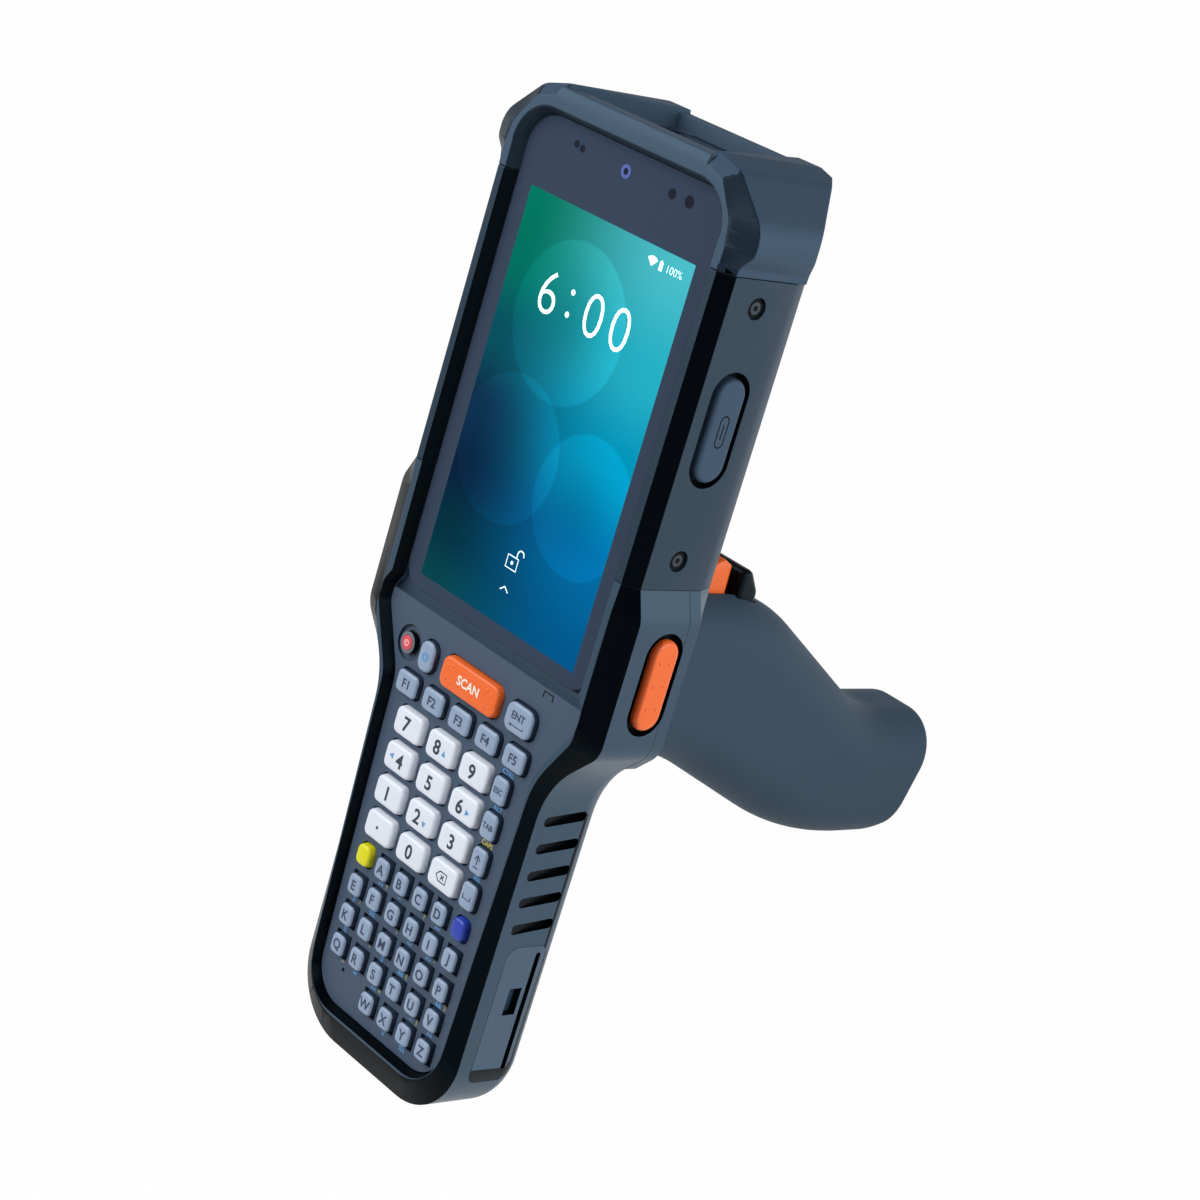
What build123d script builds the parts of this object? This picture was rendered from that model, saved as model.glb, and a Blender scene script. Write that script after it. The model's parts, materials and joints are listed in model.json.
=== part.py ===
from build123d import *
import os
from math import atan2, cos, degrees, radians, sin, tan

os.makedirs("parts", exist_ok=True)

# Rugged pistol-grip data terminal, in millimetres.
# Device frame while modelling: X to the right, Y towards the head, Z out of the screen,
# origin at the centre of the screen on the glass. Everything is turned into its standing
# position, tail and grip heel on the floor, at the end of the file.

# ---- levels along Z ------------------------------------------------------------------
rim_top = 2.8             # top of the raised rim round the front
rim_drop = 0.5            # how much lower the rim is at the tail
side_top = -0.1           # where the rim's outer bevel meets the side wall
parting = -16.5           # joint between front and rear housing
body_back = -22.0         # back of the wide section
handle_back = -19.5       # back of the handle
head_back = -29.0         # back of the head, over the scan engine
deck_bottom = -5.2        # underside of the front housing's inner deck
glass_thickness = 1.1
panel_top = 0.3
panel_bottom = -1.0

# ---- glass ---------------------------------------------------------------------------
glass_half = 31.0
glass_top_reach = 59.1    # screen centre to the glass's upper edge
glass_bottom_reach = 46.8
glass_top_radius = 8.0
glass_bottom_radius = 4.7

# ---- keys ----------------------------------------------------------------------------
key_floor = -0.5
key_crown = 1.75
key_bevel = 0.45
mat_top = -1.3
mat_thickness = 1.0
board_thickness = 1.2
top_row = glass_bottom_reach + 11.8
function_row = top_row + 7.95
digit_first_row = function_row + 7.95
digit_pitch_x = 11.65
digit_pitch_y = 8.2
digit_first_x = -15.05
digit_size = (9.7, 6.6)
digit_corner = 1.5
letter_pitch_x = 6.915
letter_pitch_y = 7.3
letter_x = -0.25
letter_first_row = digit_first_row + 3 * digit_pitch_y + 7.8
letter_size = (4.8, 5.1)
letter_corner = 1.3
side_key_x = 17.1
side_key_size = (5.1, 6.3)
function_x = -0.35
function_pitch = 9.44
function_size = (7.3, 5.4)
scan_x = -0.4
scan_size = (19.6, 7.4)
enter_x = 16.7
enter_size = (9.0, 6.8)
settings_x = -15.65
settings_size = (5.2, 7.2)
wide_key_corner = 2.3
power_x = -23.25
power_radius = 2.4
power_recess_radius = 4.0
power_recess_depth = 0.7
microphone_drop = 26.9    # below the first letter row

# ---- keypad panel --------------------------------------------------------------------
groove_width = 2.6        # gap between glass and keypad panel
panel_half = 33.0
panel_waist = glass_bottom_reach + 5.8
panel_neck_half = 25.0
panel_neck = panel_waist + 13.7
panel_tail_half = 22.5
panel_reach = letter_first_row + 4 * letter_pitch_y + 5.9
panel_radius = 9.0

# ---- body, plan sizes ----------------------------------------------------------------
rail_top = glass_top_reach - 14.1       # upper end of the side rails
rail_bottom = glass_bottom_reach - 26.4  # lower end of the side rails
waist = panel_waist + 3.4               # where the wide section starts to narrow
tail_reach = panel_reach + 8.1          # screen centre to the tail's end
wide_half = 40.3          # half width of the wide section
head_half = wide_half + 0.3             # half width of the head bumper
rail_half = wide_half - 2.8             # half width over the side rails
core_half = glass_half + 1.6            # half width of the housing inside the rails
handle_half = 28.4        # half width of the handle
tail_half = handle_half - 0.8           # half width at the tail
shoulder_radius = 6.0
neck_radius = 20.0
tail_radius = 16.0
back_radius = 6.5         # rounding along the handle's back
back_bevel = (2.5, 5.0)   # bevel between the flanks and the back of the wide section

# ---- rim, plan sizes -----------------------------------------------------------------
rim_rail_half = rail_half - 2.9
rim_wide_half = wide_half - 6.1
rim_handle_half = handle_half - 1.55
rim_tail_half = tail_half - 3.9
rim_waist = waist - 0.6
rim_neck = rim_waist + 12.4
rim_tail_reach = panel_reach + 1.7
rim_tail_radius = 11.5
rim_draft = 26.0          # slope of the rim's inner wall, degrees

# ---- walls and gaps ------------------------------------------------------------------
wall = 2.0
handle_wall = 4.1
fixed_gap = 0.1           # between fixed neighbours
key_gap = 0.3             # round each key cap
shaft_gap = 0.05          # radial, pin in a turning hole
ledge = 2.6               # width of the ledge that carries the glass

# ---- side fittings -------------------------------------------------------------------
usb_y = rail_top - 31.2
usb_z = -8.3
usb_pocket = (24.5, 10.3)
usb_groove = 1.3
usb_pocket_depth = 2.2
usb_cover_proud = 0.7
side_button_y = 16.0 - waist
side_button_z = -9.3
button_pocket = (22.8, 10.0)
button_size = (20.0, 7.0)
button_pocket_depth = 2.0
button_proud = 1.0
button_lift = 0.95        # button's underside above the pocket floor
stem_size = (8.0, 3.0)
screw_upper_y = rail_top - 5.8
screw_lower_y = 6.3 - rail_bottom
screw_z = -8.2
screw_recess_radius = 2.3
screw_recess_depth = 1.4
screw_head_radius = 1.8
screw_shank_radius = 1.0
slot_count = 5
slot_pitch = 6.31
slot_first_y = -waist - 19.9
slot_size = (11.5, 2.3)
slot_tilt = 6.0
slot_middle_z = -8.2
anchor_first_y = 44.1 - tail_reach
anchor_last_y = 11.1 - tail_reach
anchor_low_z = -15.4
anchor_high_z = -3.9
anchor_radius = 3.0
anchor_floor = handle_half - 2.4
strap_hole_y = anchor_first_y - 13.2
strap_hole_z = -9.4
strap_hole = (6.4, 3.4)
strap_groove_z = -12.8
strap_groove = (28.4, 1.3)

# ---- head ----------------------------------------------------------------------------
head_core_reach = glass_top_reach + 2.4  # end of the housing inside the head bumper
head_core_radius = 8.0
head_reach = head_core_reach + 4.5      # screen centre to the head's end
ear_half = 23.6           # half width of the recess at the front
window_half_bottom = 17.2
lip_reach = head_reach - 0.8
lip_edge = 1.9            # height of the lip's edge
lip_underside = -2.6
recess_floor_z = -26.2
window_half = 15.0
window_low = -23.5
window_high = -5.0
window_thickness = 1.2

# ---- grip ----------------------------------------------------------------------------
grip_half_width = 15.2
grip_round = 11.5         # rounding along the grip
grip_base_round = 2.0
grip_wall = 5.0           # front and back wall of the grip, along Y
grip_hollow = 10.0        # half width of the hollow inside the grip
seam_gap = 0.04
pin_y = -39.0
pin_z = -34.0
pin_radius = 1.5
boss_radius = 3.6
trigger_half = 5.6
slot_clear = 0.5
trigger_tip_z = -60.0
bezel_gap = 2.2           # between the trigger's tip and the block below it
bezel_half = trigger_half + 1.6


def outline(points, radii):
    """Closed outline, mirrored about the centre line, from the points of its right half."""
    with BuildSketch() as shape:
        with BuildLine():
            FilletPolyline(*points, radius=radii)
            mirror(about=Plane.YZ)
        make_face()
    return shape.sketch


def body_outline(inset=0.0, tail_inset=None):
    """Plan of the wide section and handle, moved in from the side wall by inset."""
    tail_in = inset if tail_inset is None else tail_inset
    shift = inset * tan(radians(45 / 2))
    neck = waist + wide_half - handle_half
    points = [
        (0, -rail_bottom - inset),
        (rail_half - inset, -rail_bottom - inset),
        (wide_half - inset, -rail_bottom - shoulder_radius - inset),
        (wide_half - inset, -waist + shift),
        (handle_half - inset, -neck + shift),
        (tail_half - inset, -tail_reach + tail_in),
        (0, -tail_reach + tail_in),
    ]
    corner = max(shoulder_radius - inset, 0.5)
    return outline(points, [0, corner, corner, neck_radius + inset, tail_radius - tail_in])


def rim_outline():
    """Plan of the raised rim's outer edge over the wide section and handle."""
    points = [
        (0, -rail_bottom),
        (rim_rail_half, -rail_bottom),
        (rim_wide_half, -rail_bottom - shoulder_radius),
        (rim_wide_half, -rim_waist),
        (rim_handle_half, -rim_neck),
        (rim_tail_half, -rim_tail_reach),
        (0, -rim_tail_reach),
    ]
    return outline(points, [0, shoulder_radius, shoulder_radius, neck_radius, rim_tail_radius])


def rim_plane():
    """Plane of the rim's top, falling gently from the rails to the tail."""
    fall = rim_drop / (rim_tail_reach - rail_bottom)
    return Plane(
        origin=(0, 0, rim_top + fall * rail_bottom), x_dir=(1, 0, 0), z_dir=(0, -fall, 1)
    )


def mouth_outline():
    """Opening in the front that takes the glass and the keypad panel."""
    points = [
        (0, glass_top_reach + fixed_gap),
        (glass_half + fixed_gap, glass_top_reach + fixed_gap),
        (glass_half + fixed_gap, -glass_bottom_reach + 1.0),
        (panel_half, -glass_bottom_reach - 2.0),
        (panel_half, -panel_waist),
        (panel_neck_half, -panel_neck),
        (panel_tail_half, -panel_reach),
        (0, -panel_reach),
    ]
    return outline(points, [glass_top_radius, 1.0, 1.0, 5.0, 10.0, panel_radius])


def mouth():
    """Solid of the front opening: straight to the panel's level, then sloping outwards."""
    with BuildPart() as cutter:
        with BuildSketch(Plane.XY.offset(-glass_thickness)):
            add(mouth_outline())
        extrude(amount=glass_thickness)
        with BuildSketch(Plane.XY):
            add(mouth_outline())
        extrude(amount=rim_top + 1.5, taper=-rim_draft)
    return cutter.part


def head_core(gap=0.0):
    """Housing inside the head bumper, grown by gap, from its underside up to the glass ledge."""
    half = core_half + gap
    flank = head_back + 9.5
    with BuildPart() as core:
        with BuildSketch(Plane.XZ.offset(-rail_top)):
            with BuildLine():
                Polyline(
                    (0, -glass_thickness), (half, -glass_thickness), (half, flank),
                    (half - 9, head_back + 2.5 - gap), (0, head_back + 2.5 - gap),
                )
                mirror(about=Plane.YZ)
            make_face()
        extrude(amount=rail_top - head_core_reach - gap)
        end_face = core.faces().sort_by(Axis.Y)[-1]
        fillet(end_face.edges().filter_by(Axis.X, reverse=True), radius=head_core_radius)
    return core.part


def envelope():
    """Full outer form of the two housings, before they are parted and hollowed."""
    with BuildPart() as form:
        with BuildSketch(Plane.XY.offset(handle_back)):
            add(body_outline())
        extrude(amount=side_top - handle_back)
        back_edges = form.faces().sort_by(Axis.Z)[0].edges()
        seam_edge = back_edges.sort_by(Axis.Y)[-1]
        fillet([edge for edge in back_edges if edge != seam_edge], radius=back_radius - 0.1)
        with BuildSketch(Plane.XY.offset(side_top)):
            add(body_outline())
        with BuildSketch(rim_plane()):
            add(rim_outline())
        loft(ruled=True)
        # deeper back of the wide section, with a 45 degree edge
        edge_z = body_back + back_bevel[1]
        narrowing = 5.4
        upper = [
            (0, -rail_bottom),
            (rail_half, -rail_bottom),
            (wide_half, -rail_bottom - shoulder_radius),
            (wide_half, -waist),
            (wide_half - narrowing, -waist - narrowing),
            (0, -waist - narrowing),
        ]
        lower = [
            (0, -rail_bottom),
            (rail_half - back_bevel[0], -rail_bottom),
            (wide_half - back_bevel[1], -rail_bottom - shoulder_radius),
            (wide_half - back_bevel[1], -waist + 0.4 * back_bevel[1]),
            (wide_half - narrowing - 3.0, -waist - narrowing + 4.0),
            (0, -waist - narrowing + 4.0),
        ]
        with BuildSketch(Plane.XY.offset(edge_z)):
            add(outline(upper, [0, shoulder_radius, shoulder_radius, 0]))
        extrude(amount=3.0)
        with BuildSketch(Plane.XY.offset(edge_z)):
            add(outline(upper, [0, shoulder_radius, shoulder_radius, 0]))
        with BuildSketch(Plane.XY.offset(body_back)):
            add(outline(lower, [0, 2.0, 2.0, 0]))
        loft(ruled=True)
        # core inside the rails
        with BuildSketch(Plane.XY.offset(body_back)):
            with Locations((0, (rail_top - rail_bottom) / 2 - 1)):
                Rectangle(2 * core_half, rail_top + rail_bottom + 2)
        extrude(amount=-glass_thickness - body_back)
        add(head_core())
        # hump over the scan engine
        with BuildSketch(Plane.XY.offset(body_back)):
            with Locations((0, rail_top - 19)):
                Rectangle(2 * core_half - 4, 38)
        with BuildSketch(Plane.XY.offset(head_back)):
            with Locations((0, rail_top - 8)):
                Rectangle(2 * core_half - 16, 16)
        loft(ruled=True)
    return form.part


def keypad_outline(inset):
    """Plan of the keypad panel, moved in from the opening by inset."""
    slope = atan2(panel_half - panel_neck_half, panel_neck - panel_waist)
    shift = inset * tan(slope / 2)
    top = glass_bottom_reach + groove_width + inset / 4
    points = [
        (0, -top),
        (panel_half - inset, -top),
        (panel_half - inset, -panel_waist + shift),
        (panel_neck_half - inset, -panel_neck + shift),
        (panel_tail_half - inset, -panel_reach + inset),
        (0, -panel_reach + inset),
    ]
    return outline(points, [0.4, max(4.0 - inset, 0.5), 10.0 + inset, panel_radius - inset])


def bumper_outline():
    """Plan of the head bumper at the side wall."""
    points = [
        (0, rail_top + fixed_gap),
        (rail_half, rail_top + fixed_gap),
        (rail_half, rail_top + 1.6),
        (head_half, rail_top + 5.0),
        (head_half, head_reach - 10.8),
        (head_half - 9.8, head_reach - 1.9),
        (ear_half, head_reach),
        (0, head_reach),
    ]
    return outline(points, [0, 1.5, 2.5, 7.0, 6.0, 3.0])


def bumper_rim_outline():
    """Plan of the head bumper's front edge, inside its bevel."""
    points = [
        (0, rail_top + fixed_gap),
        (rim_rail_half, rail_top + fixed_gap),
        (rim_rail_half + 0.1, rail_top + 1.6),
        (rim_rail_half, rail_top + 5.0),
        (rim_rail_half - 0.8, head_reach - 11.0),
        (rim_rail_half - 5.6, head_reach - 4.5),
        (ear_half + 0.9, head_reach - 3.1),
        (0, head_reach - 3.1),
    ]
    return outline(points, [0, 1.5, 2.5, 5.0, 3.0, 3.0])


def side_slot(x, y, z, size, depth, rotation=0):
    """Round-ended bar on the right flank: its inner face at x, depth thick, towards +X."""
    with BuildPart() as bar:
        with BuildSketch(Plane.YZ.offset(x)):
            with Locations((y, z)):
                SlotOverall(size[0], size[1], rotation=rotation)
        extrude(amount=depth)
    return bar.part


def side_block(x, y, z, size, depth):
    """Rectangular bar on the right flank: its inner face at x, depth thick, towards +X."""
    with BuildPart() as bar:
        with BuildSketch(Plane.YZ.offset(x)):
            with Locations((y, z)):
                Rectangle(size[0], size[1])
        extrude(amount=depth)
    return bar.part


def side_pin(x, y, z, radius, depth):
    """Round bar on the right flank: its inner face at x, depth thick, towards +X."""
    with BuildPart() as bar:
        with BuildSketch(Plane.YZ.offset(x)):
            with Locations((y, z)):
                Circle(radius)
        extrude(amount=depth)
    return bar.part


def both_sides(solid):
    """A right-hand solid together with its mirror image."""
    return [solid, mirror(solid, about=Plane.YZ)]


def grip_slots():
    """Finger slots of the right flank of the handle, deeper towards the back."""
    shallow = 0.25
    deep = 2.1
    run = slot_size[0]
    lean = atan2(deep - shallow, run)
    middle = handle_half - (deep + shallow) / 2
    normal = (cos(lean), 0, -sin(lean))
    slots = []
    for index in range(slot_count):
        y = slot_first_y - index * slot_pitch
        flank = Plane(origin=(middle, y, slot_middle_z), x_dir=(0, 1, 0), z_dir=normal)
        with BuildPart() as slot:
            with BuildSketch(flank):
                SlotOverall(run, slot_size[1], rotation=90 + slot_tilt)
            extrude(amount=6)
        slots.append(slot.part)
    return slots


def anchor_form(gap=0.0):
    """Inlay of the strap anchor in the right flank, grown by gap."""
    width = anchor_first_y - anchor_last_y + 2 * gap
    height = anchor_high_z - anchor_low_z + 2 * gap
    with BuildPart() as inlay:
        with BuildSketch(Plane.YZ.offset(anchor_floor - gap)):
            with Locations(((anchor_first_y + anchor_last_y) / 2, (anchor_low_z + anchor_high_z) / 2)):
                RectangleRounded(width, height, anchor_radius + gap)
        extrude(amount=6)
    return inlay.part


pieces = []


def keep(piece, name):
    """Label a finished piece and put it with the others."""
    piece.label = name
    pieces.append(piece)


form = envelope()
front_mouth = mouth()

# ---- front housing: handle, wide section, deck under the glass and keypad ------------
module_size = (2 * glass_half - 5.6, glass_top_reach + glass_bottom_reach - 12.5)
module_thickness = 2.1
module_y = (glass_top_reach - glass_bottom_reach) / 2 - 6.55
camera_y = glass_top_reach - 4.6
camera_radius = 2.6
screw_posts = [(core_half - 6.1, rail_top - 7.0), (core_half - 6.1, 8.4 - rail_bottom)]
post_radius = 3.0
post_bore = 1.2
counterbore_radius = 2.5
mat_gap = 0.2
keypad_floor = mat_top - mat_thickness - board_thickness - fixed_gap

with BuildPart() as front_housing:
    add(form)
    split(bisect_by=Plane.XY.offset(parting), keep=Keep.TOP)
    add(front_mouth, mode=Mode.SUBTRACT)
    with BuildSketch(Plane.XY.offset(-glass_thickness)):
        with Locations((0, module_y)):
            Rectangle(module_size[0] + 2 * fixed_gap, module_size[1] + 2 * fixed_gap)
    extrude(amount=-module_thickness - fixed_gap, mode=Mode.SUBTRACT)
    with BuildSketch(Plane.XY.offset(-glass_thickness)):
        with Locations((0, camera_y)):
            Circle(camera_radius + fixed_gap)
    extrude(amount=-module_thickness - fixed_gap, mode=Mode.SUBTRACT)
    with BuildSketch(Plane.XY.offset(keypad_floor)):
        add(keypad_outline(ledge))
    extrude(amount=-keypad_floor, mode=Mode.SUBTRACT)
    with BuildSketch(Plane.XY.offset(parting)):
        add(body_outline(handle_wall))
        with Locations((0, (head_core_reach - wall - rail_bottom) / 2 - 4)):
            Rectangle(2 * (core_half - wall), head_core_reach - wall + rail_bottom + 8)
    extrude(amount=deck_bottom - parting, mode=Mode.SUBTRACT)
    with BuildSketch(Plane.XY.offset(parting)):
        for x, y in screw_posts:
            with Locations((x, y), (-x, y)):
                Circle(post_radius)
                Circle(post_bore, mode=Mode.SUBTRACT)
    extrude(amount=deck_bottom - parting)
    for slot in grip_slots():
        add(both_sides(slot), mode=Mode.SUBTRACT)
    add(both_sides(anchor_form(fixed_gap)), mode=Mode.SUBTRACT)
    pocket_floor = wide_half - button_pocket_depth
    pocket = side_slot(pocket_floor, side_button_y, side_button_z, button_pocket, 4)
    add(both_sides(pocket), mode=Mode.SUBTRACT)
    stem_hole = (stem_size[0] + 2 * key_gap, stem_size[1] + 2 * key_gap)
    bore = side_block(pocket_floor - 4, side_button_y, side_button_z, stem_hole, 5)
    add(both_sides(bore), mode=Mode.SUBTRACT)
    for y in (screw_upper_y, screw_lower_y):
        hole = side_pin(core_half - wall - 1, y, screw_z, screw_shank_radius + fixed_gap, 4)
        add(both_sides(hole), mode=Mode.SUBTRACT)
    add(side_slot(core_half - 5, usb_y, usb_z, (9.5, 3.7), 8), mode=Mode.SUBTRACT)
    with BuildSketch(Plane.XZ.offset(-head_core_reach - 1)):
        with Locations((0, (window_low + window_high) / 2)):
            Rectangle(2 * window_half, window_high - window_low)
    extrude(amount=wall + 2, mode=Mode.SUBTRACT)
    with BuildSketch(Plane.XZ.offset(-head_core_reach - 1)):
        with Locations((0, (window_low + window_high) / 2)):
            Rectangle(2 * window_half + 1.8, window_high - window_low + 1.8)
    extrude(amount=window_thickness + 1 + fixed_gap, mode=Mode.SUBTRACT)
keep(front_housing.part, "front_housing")

# ---- rear housing: back shell with the battery opening -------------------------------
battery_size = (38.0, tail_reach - 84.3)
battery_y = 41.3 - tail_reach
battery_top = -8.5
battery_radius = 4.0
rear_floor = body_back + wall
scan_floor = head_back + 2.5 + wall

with BuildPart() as rear_housing:
    add(form)
    split(bisect_by=Plane.XY.offset(parting), keep=Keep.BOTTOM)
    with BuildSketch(Plane.XY.offset(rear_floor)):
        with Locations((0, (head_core_reach - wall - rail_bottom) / 2)):
            Rectangle(2 * (core_half - 5), head_core_reach - wall + rail_bottom)
        with Locations((0, -(rail_bottom + waist) / 2)):
            Rectangle(2 * (wide_half - 8), waist - rail_bottom)
    extrude(amount=parting - rear_floor, mode=Mode.SUBTRACT)
    with BuildSketch(Plane.XY.offset(scan_floor)):
        with Locations((0, head_core_reach - wall - 13)):
            Rectangle(40, 26)
    extrude(amount=rear_floor - scan_floor, mode=Mode.SUBTRACT)
    with BuildSketch(Plane.XY.offset(handle_back - 1)):
        with Locations((0, battery_y)):
            RectangleRounded(
                battery_size[0] + 3 * fixed_gap, battery_size[1] + 3 * fixed_gap, battery_radius
            )
    extrude(amount=parting - handle_back + 2, mode=Mode.SUBTRACT)
    with BuildSketch(Plane.XZ.offset(-head_core_reach - 1)):
        with Locations((0, (window_low + window_high) / 2)):
            Rectangle(2 * window_half, window_high - window_low)
    extrude(amount=wall + 2, mode=Mode.SUBTRACT)
    with BuildSketch(Plane.XZ.offset(-head_core_reach - 1)):
        with Locations((0, (window_low + window_high) / 2)):
            Rectangle(2 * window_half + 1.8, window_high - window_low + 1.8)
    extrude(amount=window_thickness + 1 + fixed_gap, mode=Mode.SUBTRACT)
    for x, y in screw_posts:
        with Locations((x, y, body_back), (-x, y, body_back)):
            Cylinder(counterbore_radius, 3.4, mode=Mode.SUBTRACT)
            Cylinder(post_bore + 0.15, 16, mode=Mode.SUBTRACT)
keep(rear_housing.part, "rear_housing")

# ---- housing screws, four in the back ------------------------------------------------
with BuildPart() as housing_screws:
    for x, y in screw_posts:
        with Locations((x, y, body_back + 0.2), (-x, y, body_back + 0.2)):
            foot = (Align.CENTER, Align.CENTER, Align.MIN)
            Cylinder(counterbore_radius - 0.2, 1.3, align=foot)
            Cylinder(post_bore - 0.1, 12, align=foot)
keep(housing_screws.part, "housing_screws")

# ---- battery pack in the handle's back -----------------------------------------------
with BuildPart() as battery_pack:
    with BuildSketch(Plane.XY.offset(handle_back)):
        with Locations((0, battery_y)):
            RectangleRounded(battery_size[0], battery_size[1], battery_radius)
    extrude(amount=battery_top - handle_back)
    chamfer(battery_pack.faces().sort_by(Axis.Z)[0].edges(), length=0.6)
keep(battery_pack.part, "battery_pack")

# ---- head bumper: rubber cap with the scan window recess -----------------------------
flank_low = body_back + back_bevel[1]
flank_run = head_half - rail_half + back_bevel[0]
bevel_slope = back_bevel[1] / flank_run

with BuildPart() as head_bumper:
    with BuildSketch(Plane.XY.offset(head_back)):
        add(bumper_outline())
    extrude(amount=side_top - head_back)
    with BuildSketch(Plane.XY.offset(side_top)):
        add(bumper_outline())
    with BuildSketch(Plane.XY.offset(rim_top)):
        add(bumper_rim_outline())
    loft(ruled=True)
    # lip over the scan window, falling gently to its edge
    with BuildSketch(Plane.YZ):
        with BuildLine():
            Polyline(
                (head_core_reach, lip_underside), (lip_reach, lip_underside), (lip_reach, lip_edge),
                (head_reach - 3.1, rim_top), (head_core_reach, rim_top), close=True,
            )
        make_face()
    extrude(amount=ear_half, both=True)
    # bevel along both flanks, running out at the back
    with BuildSketch(Plane.XZ.offset(-head_reach - 1)):
        with BuildLine():
            Polyline(
                (head_half + 1, flank_low + bevel_slope),
                (head_half - (flank_low - head_back + 1) / bevel_slope, head_back - 1),
                (head_half + 1, head_back - 1), close=True,
            )
        make_face()
        mirror(about=Plane.YZ)
    extrude(amount=head_reach + 1 - rail_top, mode=Mode.SUBTRACT)
    add(head_core(fixed_gap), mode=Mode.SUBTRACT)
    add(front_mouth, mode=Mode.SUBTRACT)
    slant = (ear_half - window_half_bottom) / (rim_top - recess_floor_z)
    half_at_lip = window_half_bottom + slant * (lip_underside - recess_floor_z)
    half_at_back = window_half_bottom + slant * (head_back - recess_floor_z)
    # slot between the ears: in front of the lip, and over the wall behind the window
    with BuildSketch(Plane.XZ.offset(-head_reach - 1)):
        with BuildLine():
            Polyline(
                (0, rim_top + 1), (ear_half + slant, rim_top + 1),
                (window_half_bottom, recess_floor_z), (half_at_back, head_back), (0, head_back),
            )
            mirror(about=Plane.YZ)
        make_face()
    extrude(amount=head_reach + 1 - lip_reach, mode=Mode.SUBTRACT)
    with BuildSketch(Plane.XZ.offset(-head_reach - 1)):
        with BuildLine():
            Polyline(
                (0, lip_underside), (half_at_lip, lip_underside),
                (window_half_bottom, recess_floor_z), (0, recess_floor_z),
            )
            mirror(about=Plane.YZ)
        make_face()
    extrude(amount=head_reach + 1 - head_core_reach - fixed_gap, mode=Mode.SUBTRACT)
keep(head_bumper.part, "head_bumper")


# ---- side rails: bevelled strips screwed to the flanks -------------------------------
def rail_form():
    """Right-hand rail before its pockets: strip along the flank with the raised rim."""
    with BuildPart() as strip:
        with BuildSketch(Plane.XZ.offset(-rail_top)):
            with BuildLine():
                Polyline(
                    (rail_half, side_top), (rim_rail_half, rim_top), (glass_half - 1, rim_top),
                    (glass_half - 1, -glass_thickness + fixed_gap),
                    (core_half + fixed_gap, -glass_thickness + fixed_gap),
                    (core_half + fixed_gap, body_back), (rail_half - back_bevel[0], body_back),
                    (rail_half, body_back + back_bevel[1]), close=True,
                )
            make_face()
        extrude(amount=rail_top + rail_bottom - fixed_gap)
        add(front_mouth, mode=Mode.SUBTRACT)
        for y in (screw_upper_y, screw_lower_y):
            recess = rail_half - screw_recess_depth
            add(side_pin(recess, y, screw_z, screw_recess_radius, 3), mode=Mode.SUBTRACT)
            shank = screw_shank_radius + fixed_gap
            add(side_pin(core_half, y, screw_z, shank, 4), mode=Mode.SUBTRACT)
    return strip.part


with BuildPart() as side_rail_right:
    add(rail_form())
    pocket = side_slot(rail_half - usb_pocket_depth, usb_y, usb_z, usb_pocket, 4)
    add(pocket, mode=Mode.SUBTRACT)
    add(side_slot(core_half - 1, usb_y, usb_z, (9.5, 3.7), 4), mode=Mode.SUBTRACT)
keep(side_rail_right.part, "side_rail_right")

side_rail_left = mirror(rail_form(), about=Plane.YZ)
keep(side_rail_left, "side_rail_left")

# ---- rail screws ---------------------------------------------------------------------
with BuildPart() as rail_screws:
    for y in (screw_upper_y, screw_lower_y):
        seat = rail_half - screw_recess_depth
        head = side_pin(seat, y, screw_z, screw_head_radius, 1.0)
        shank = side_pin(core_half - wall + 0.4, y, screw_z, screw_shank_radius, seat - core_half + wall)
        add(both_sides(head))
        add(both_sides(shank))
keep(rail_screws.part, "rail_screws")

# ---- glass, screen module, camera ----------------------------------------------------
with BuildPart() as display_glass:
    with BuildSketch(Plane.XY.offset(-glass_thickness)):
        corners = [
            (0, glass_top_reach), (glass_half, glass_top_reach),
            (glass_half, -glass_bottom_reach), (0, -glass_bottom_reach),
        ]
        add(outline(corners, [glass_top_radius, glass_bottom_radius]))
    extrude(amount=glass_thickness)
keep(display_glass.part, "display_glass")

with BuildPart() as screen_module:
    with BuildSketch(Plane.XY.offset(-glass_thickness)):
        with Locations((0, module_y)):
            Rectangle(*module_size)
    extrude(amount=-module_thickness)
keep(screen_module.part, "screen_module")

with BuildPart() as front_camera:
    with BuildSketch(Plane.XY.offset(-glass_thickness)):
        with Locations((0, camera_y)):
            Circle(camera_radius)
    extrude(amount=-module_thickness)
keep(front_camera.part, "front_camera")

# ---- keys ----------------------------------------------------------------------------
# each: node name, x, y, width, height, corner radius
digit_names = [
    "seven_key", "eight_key", "nine_key", "four_key", "five_key", "six_key",
    "one_key", "two_key", "three_key", "point_key", "zero_key", "erase_key",
]
side_names = ["escape_key", "tab_key", "shift_key", "space_key"]
keys = []
for index, name in enumerate(digit_names):
    x = digit_first_x + (index % 3) * digit_pitch_x
    y = -digit_first_row - (index // 3) * digit_pitch_y
    keys.append((name, x, y, *digit_size, digit_corner))
for index, name in enumerate(side_names):
    y = -digit_first_row - index * digit_pitch_y
    keys.append((name, side_key_x, y, *side_key_size, letter_corner))
for index in range(5):
    x = function_x + (index - 2) * function_pitch
    keys.append((f"f{index + 1}_key", x, -function_row, *function_size, letter_corner))
keys.append(("scan_key", scan_x, -top_row, *scan_size, wide_key_corner))
keys.append(("enter_key", enter_x, -top_row, *enter_size, wide_key_corner))
keys.append(("settings_key", settings_x, -top_row, *settings_size, wide_key_corner))
keys.append(("yellow_key", letter_x - 2.5 * letter_pitch_x, -letter_first_row, *letter_size, digit_corner))
keys.append(("blue_key", letter_x + 2.5 * letter_pitch_x, -letter_first_row, *letter_size, digit_corner))

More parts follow.
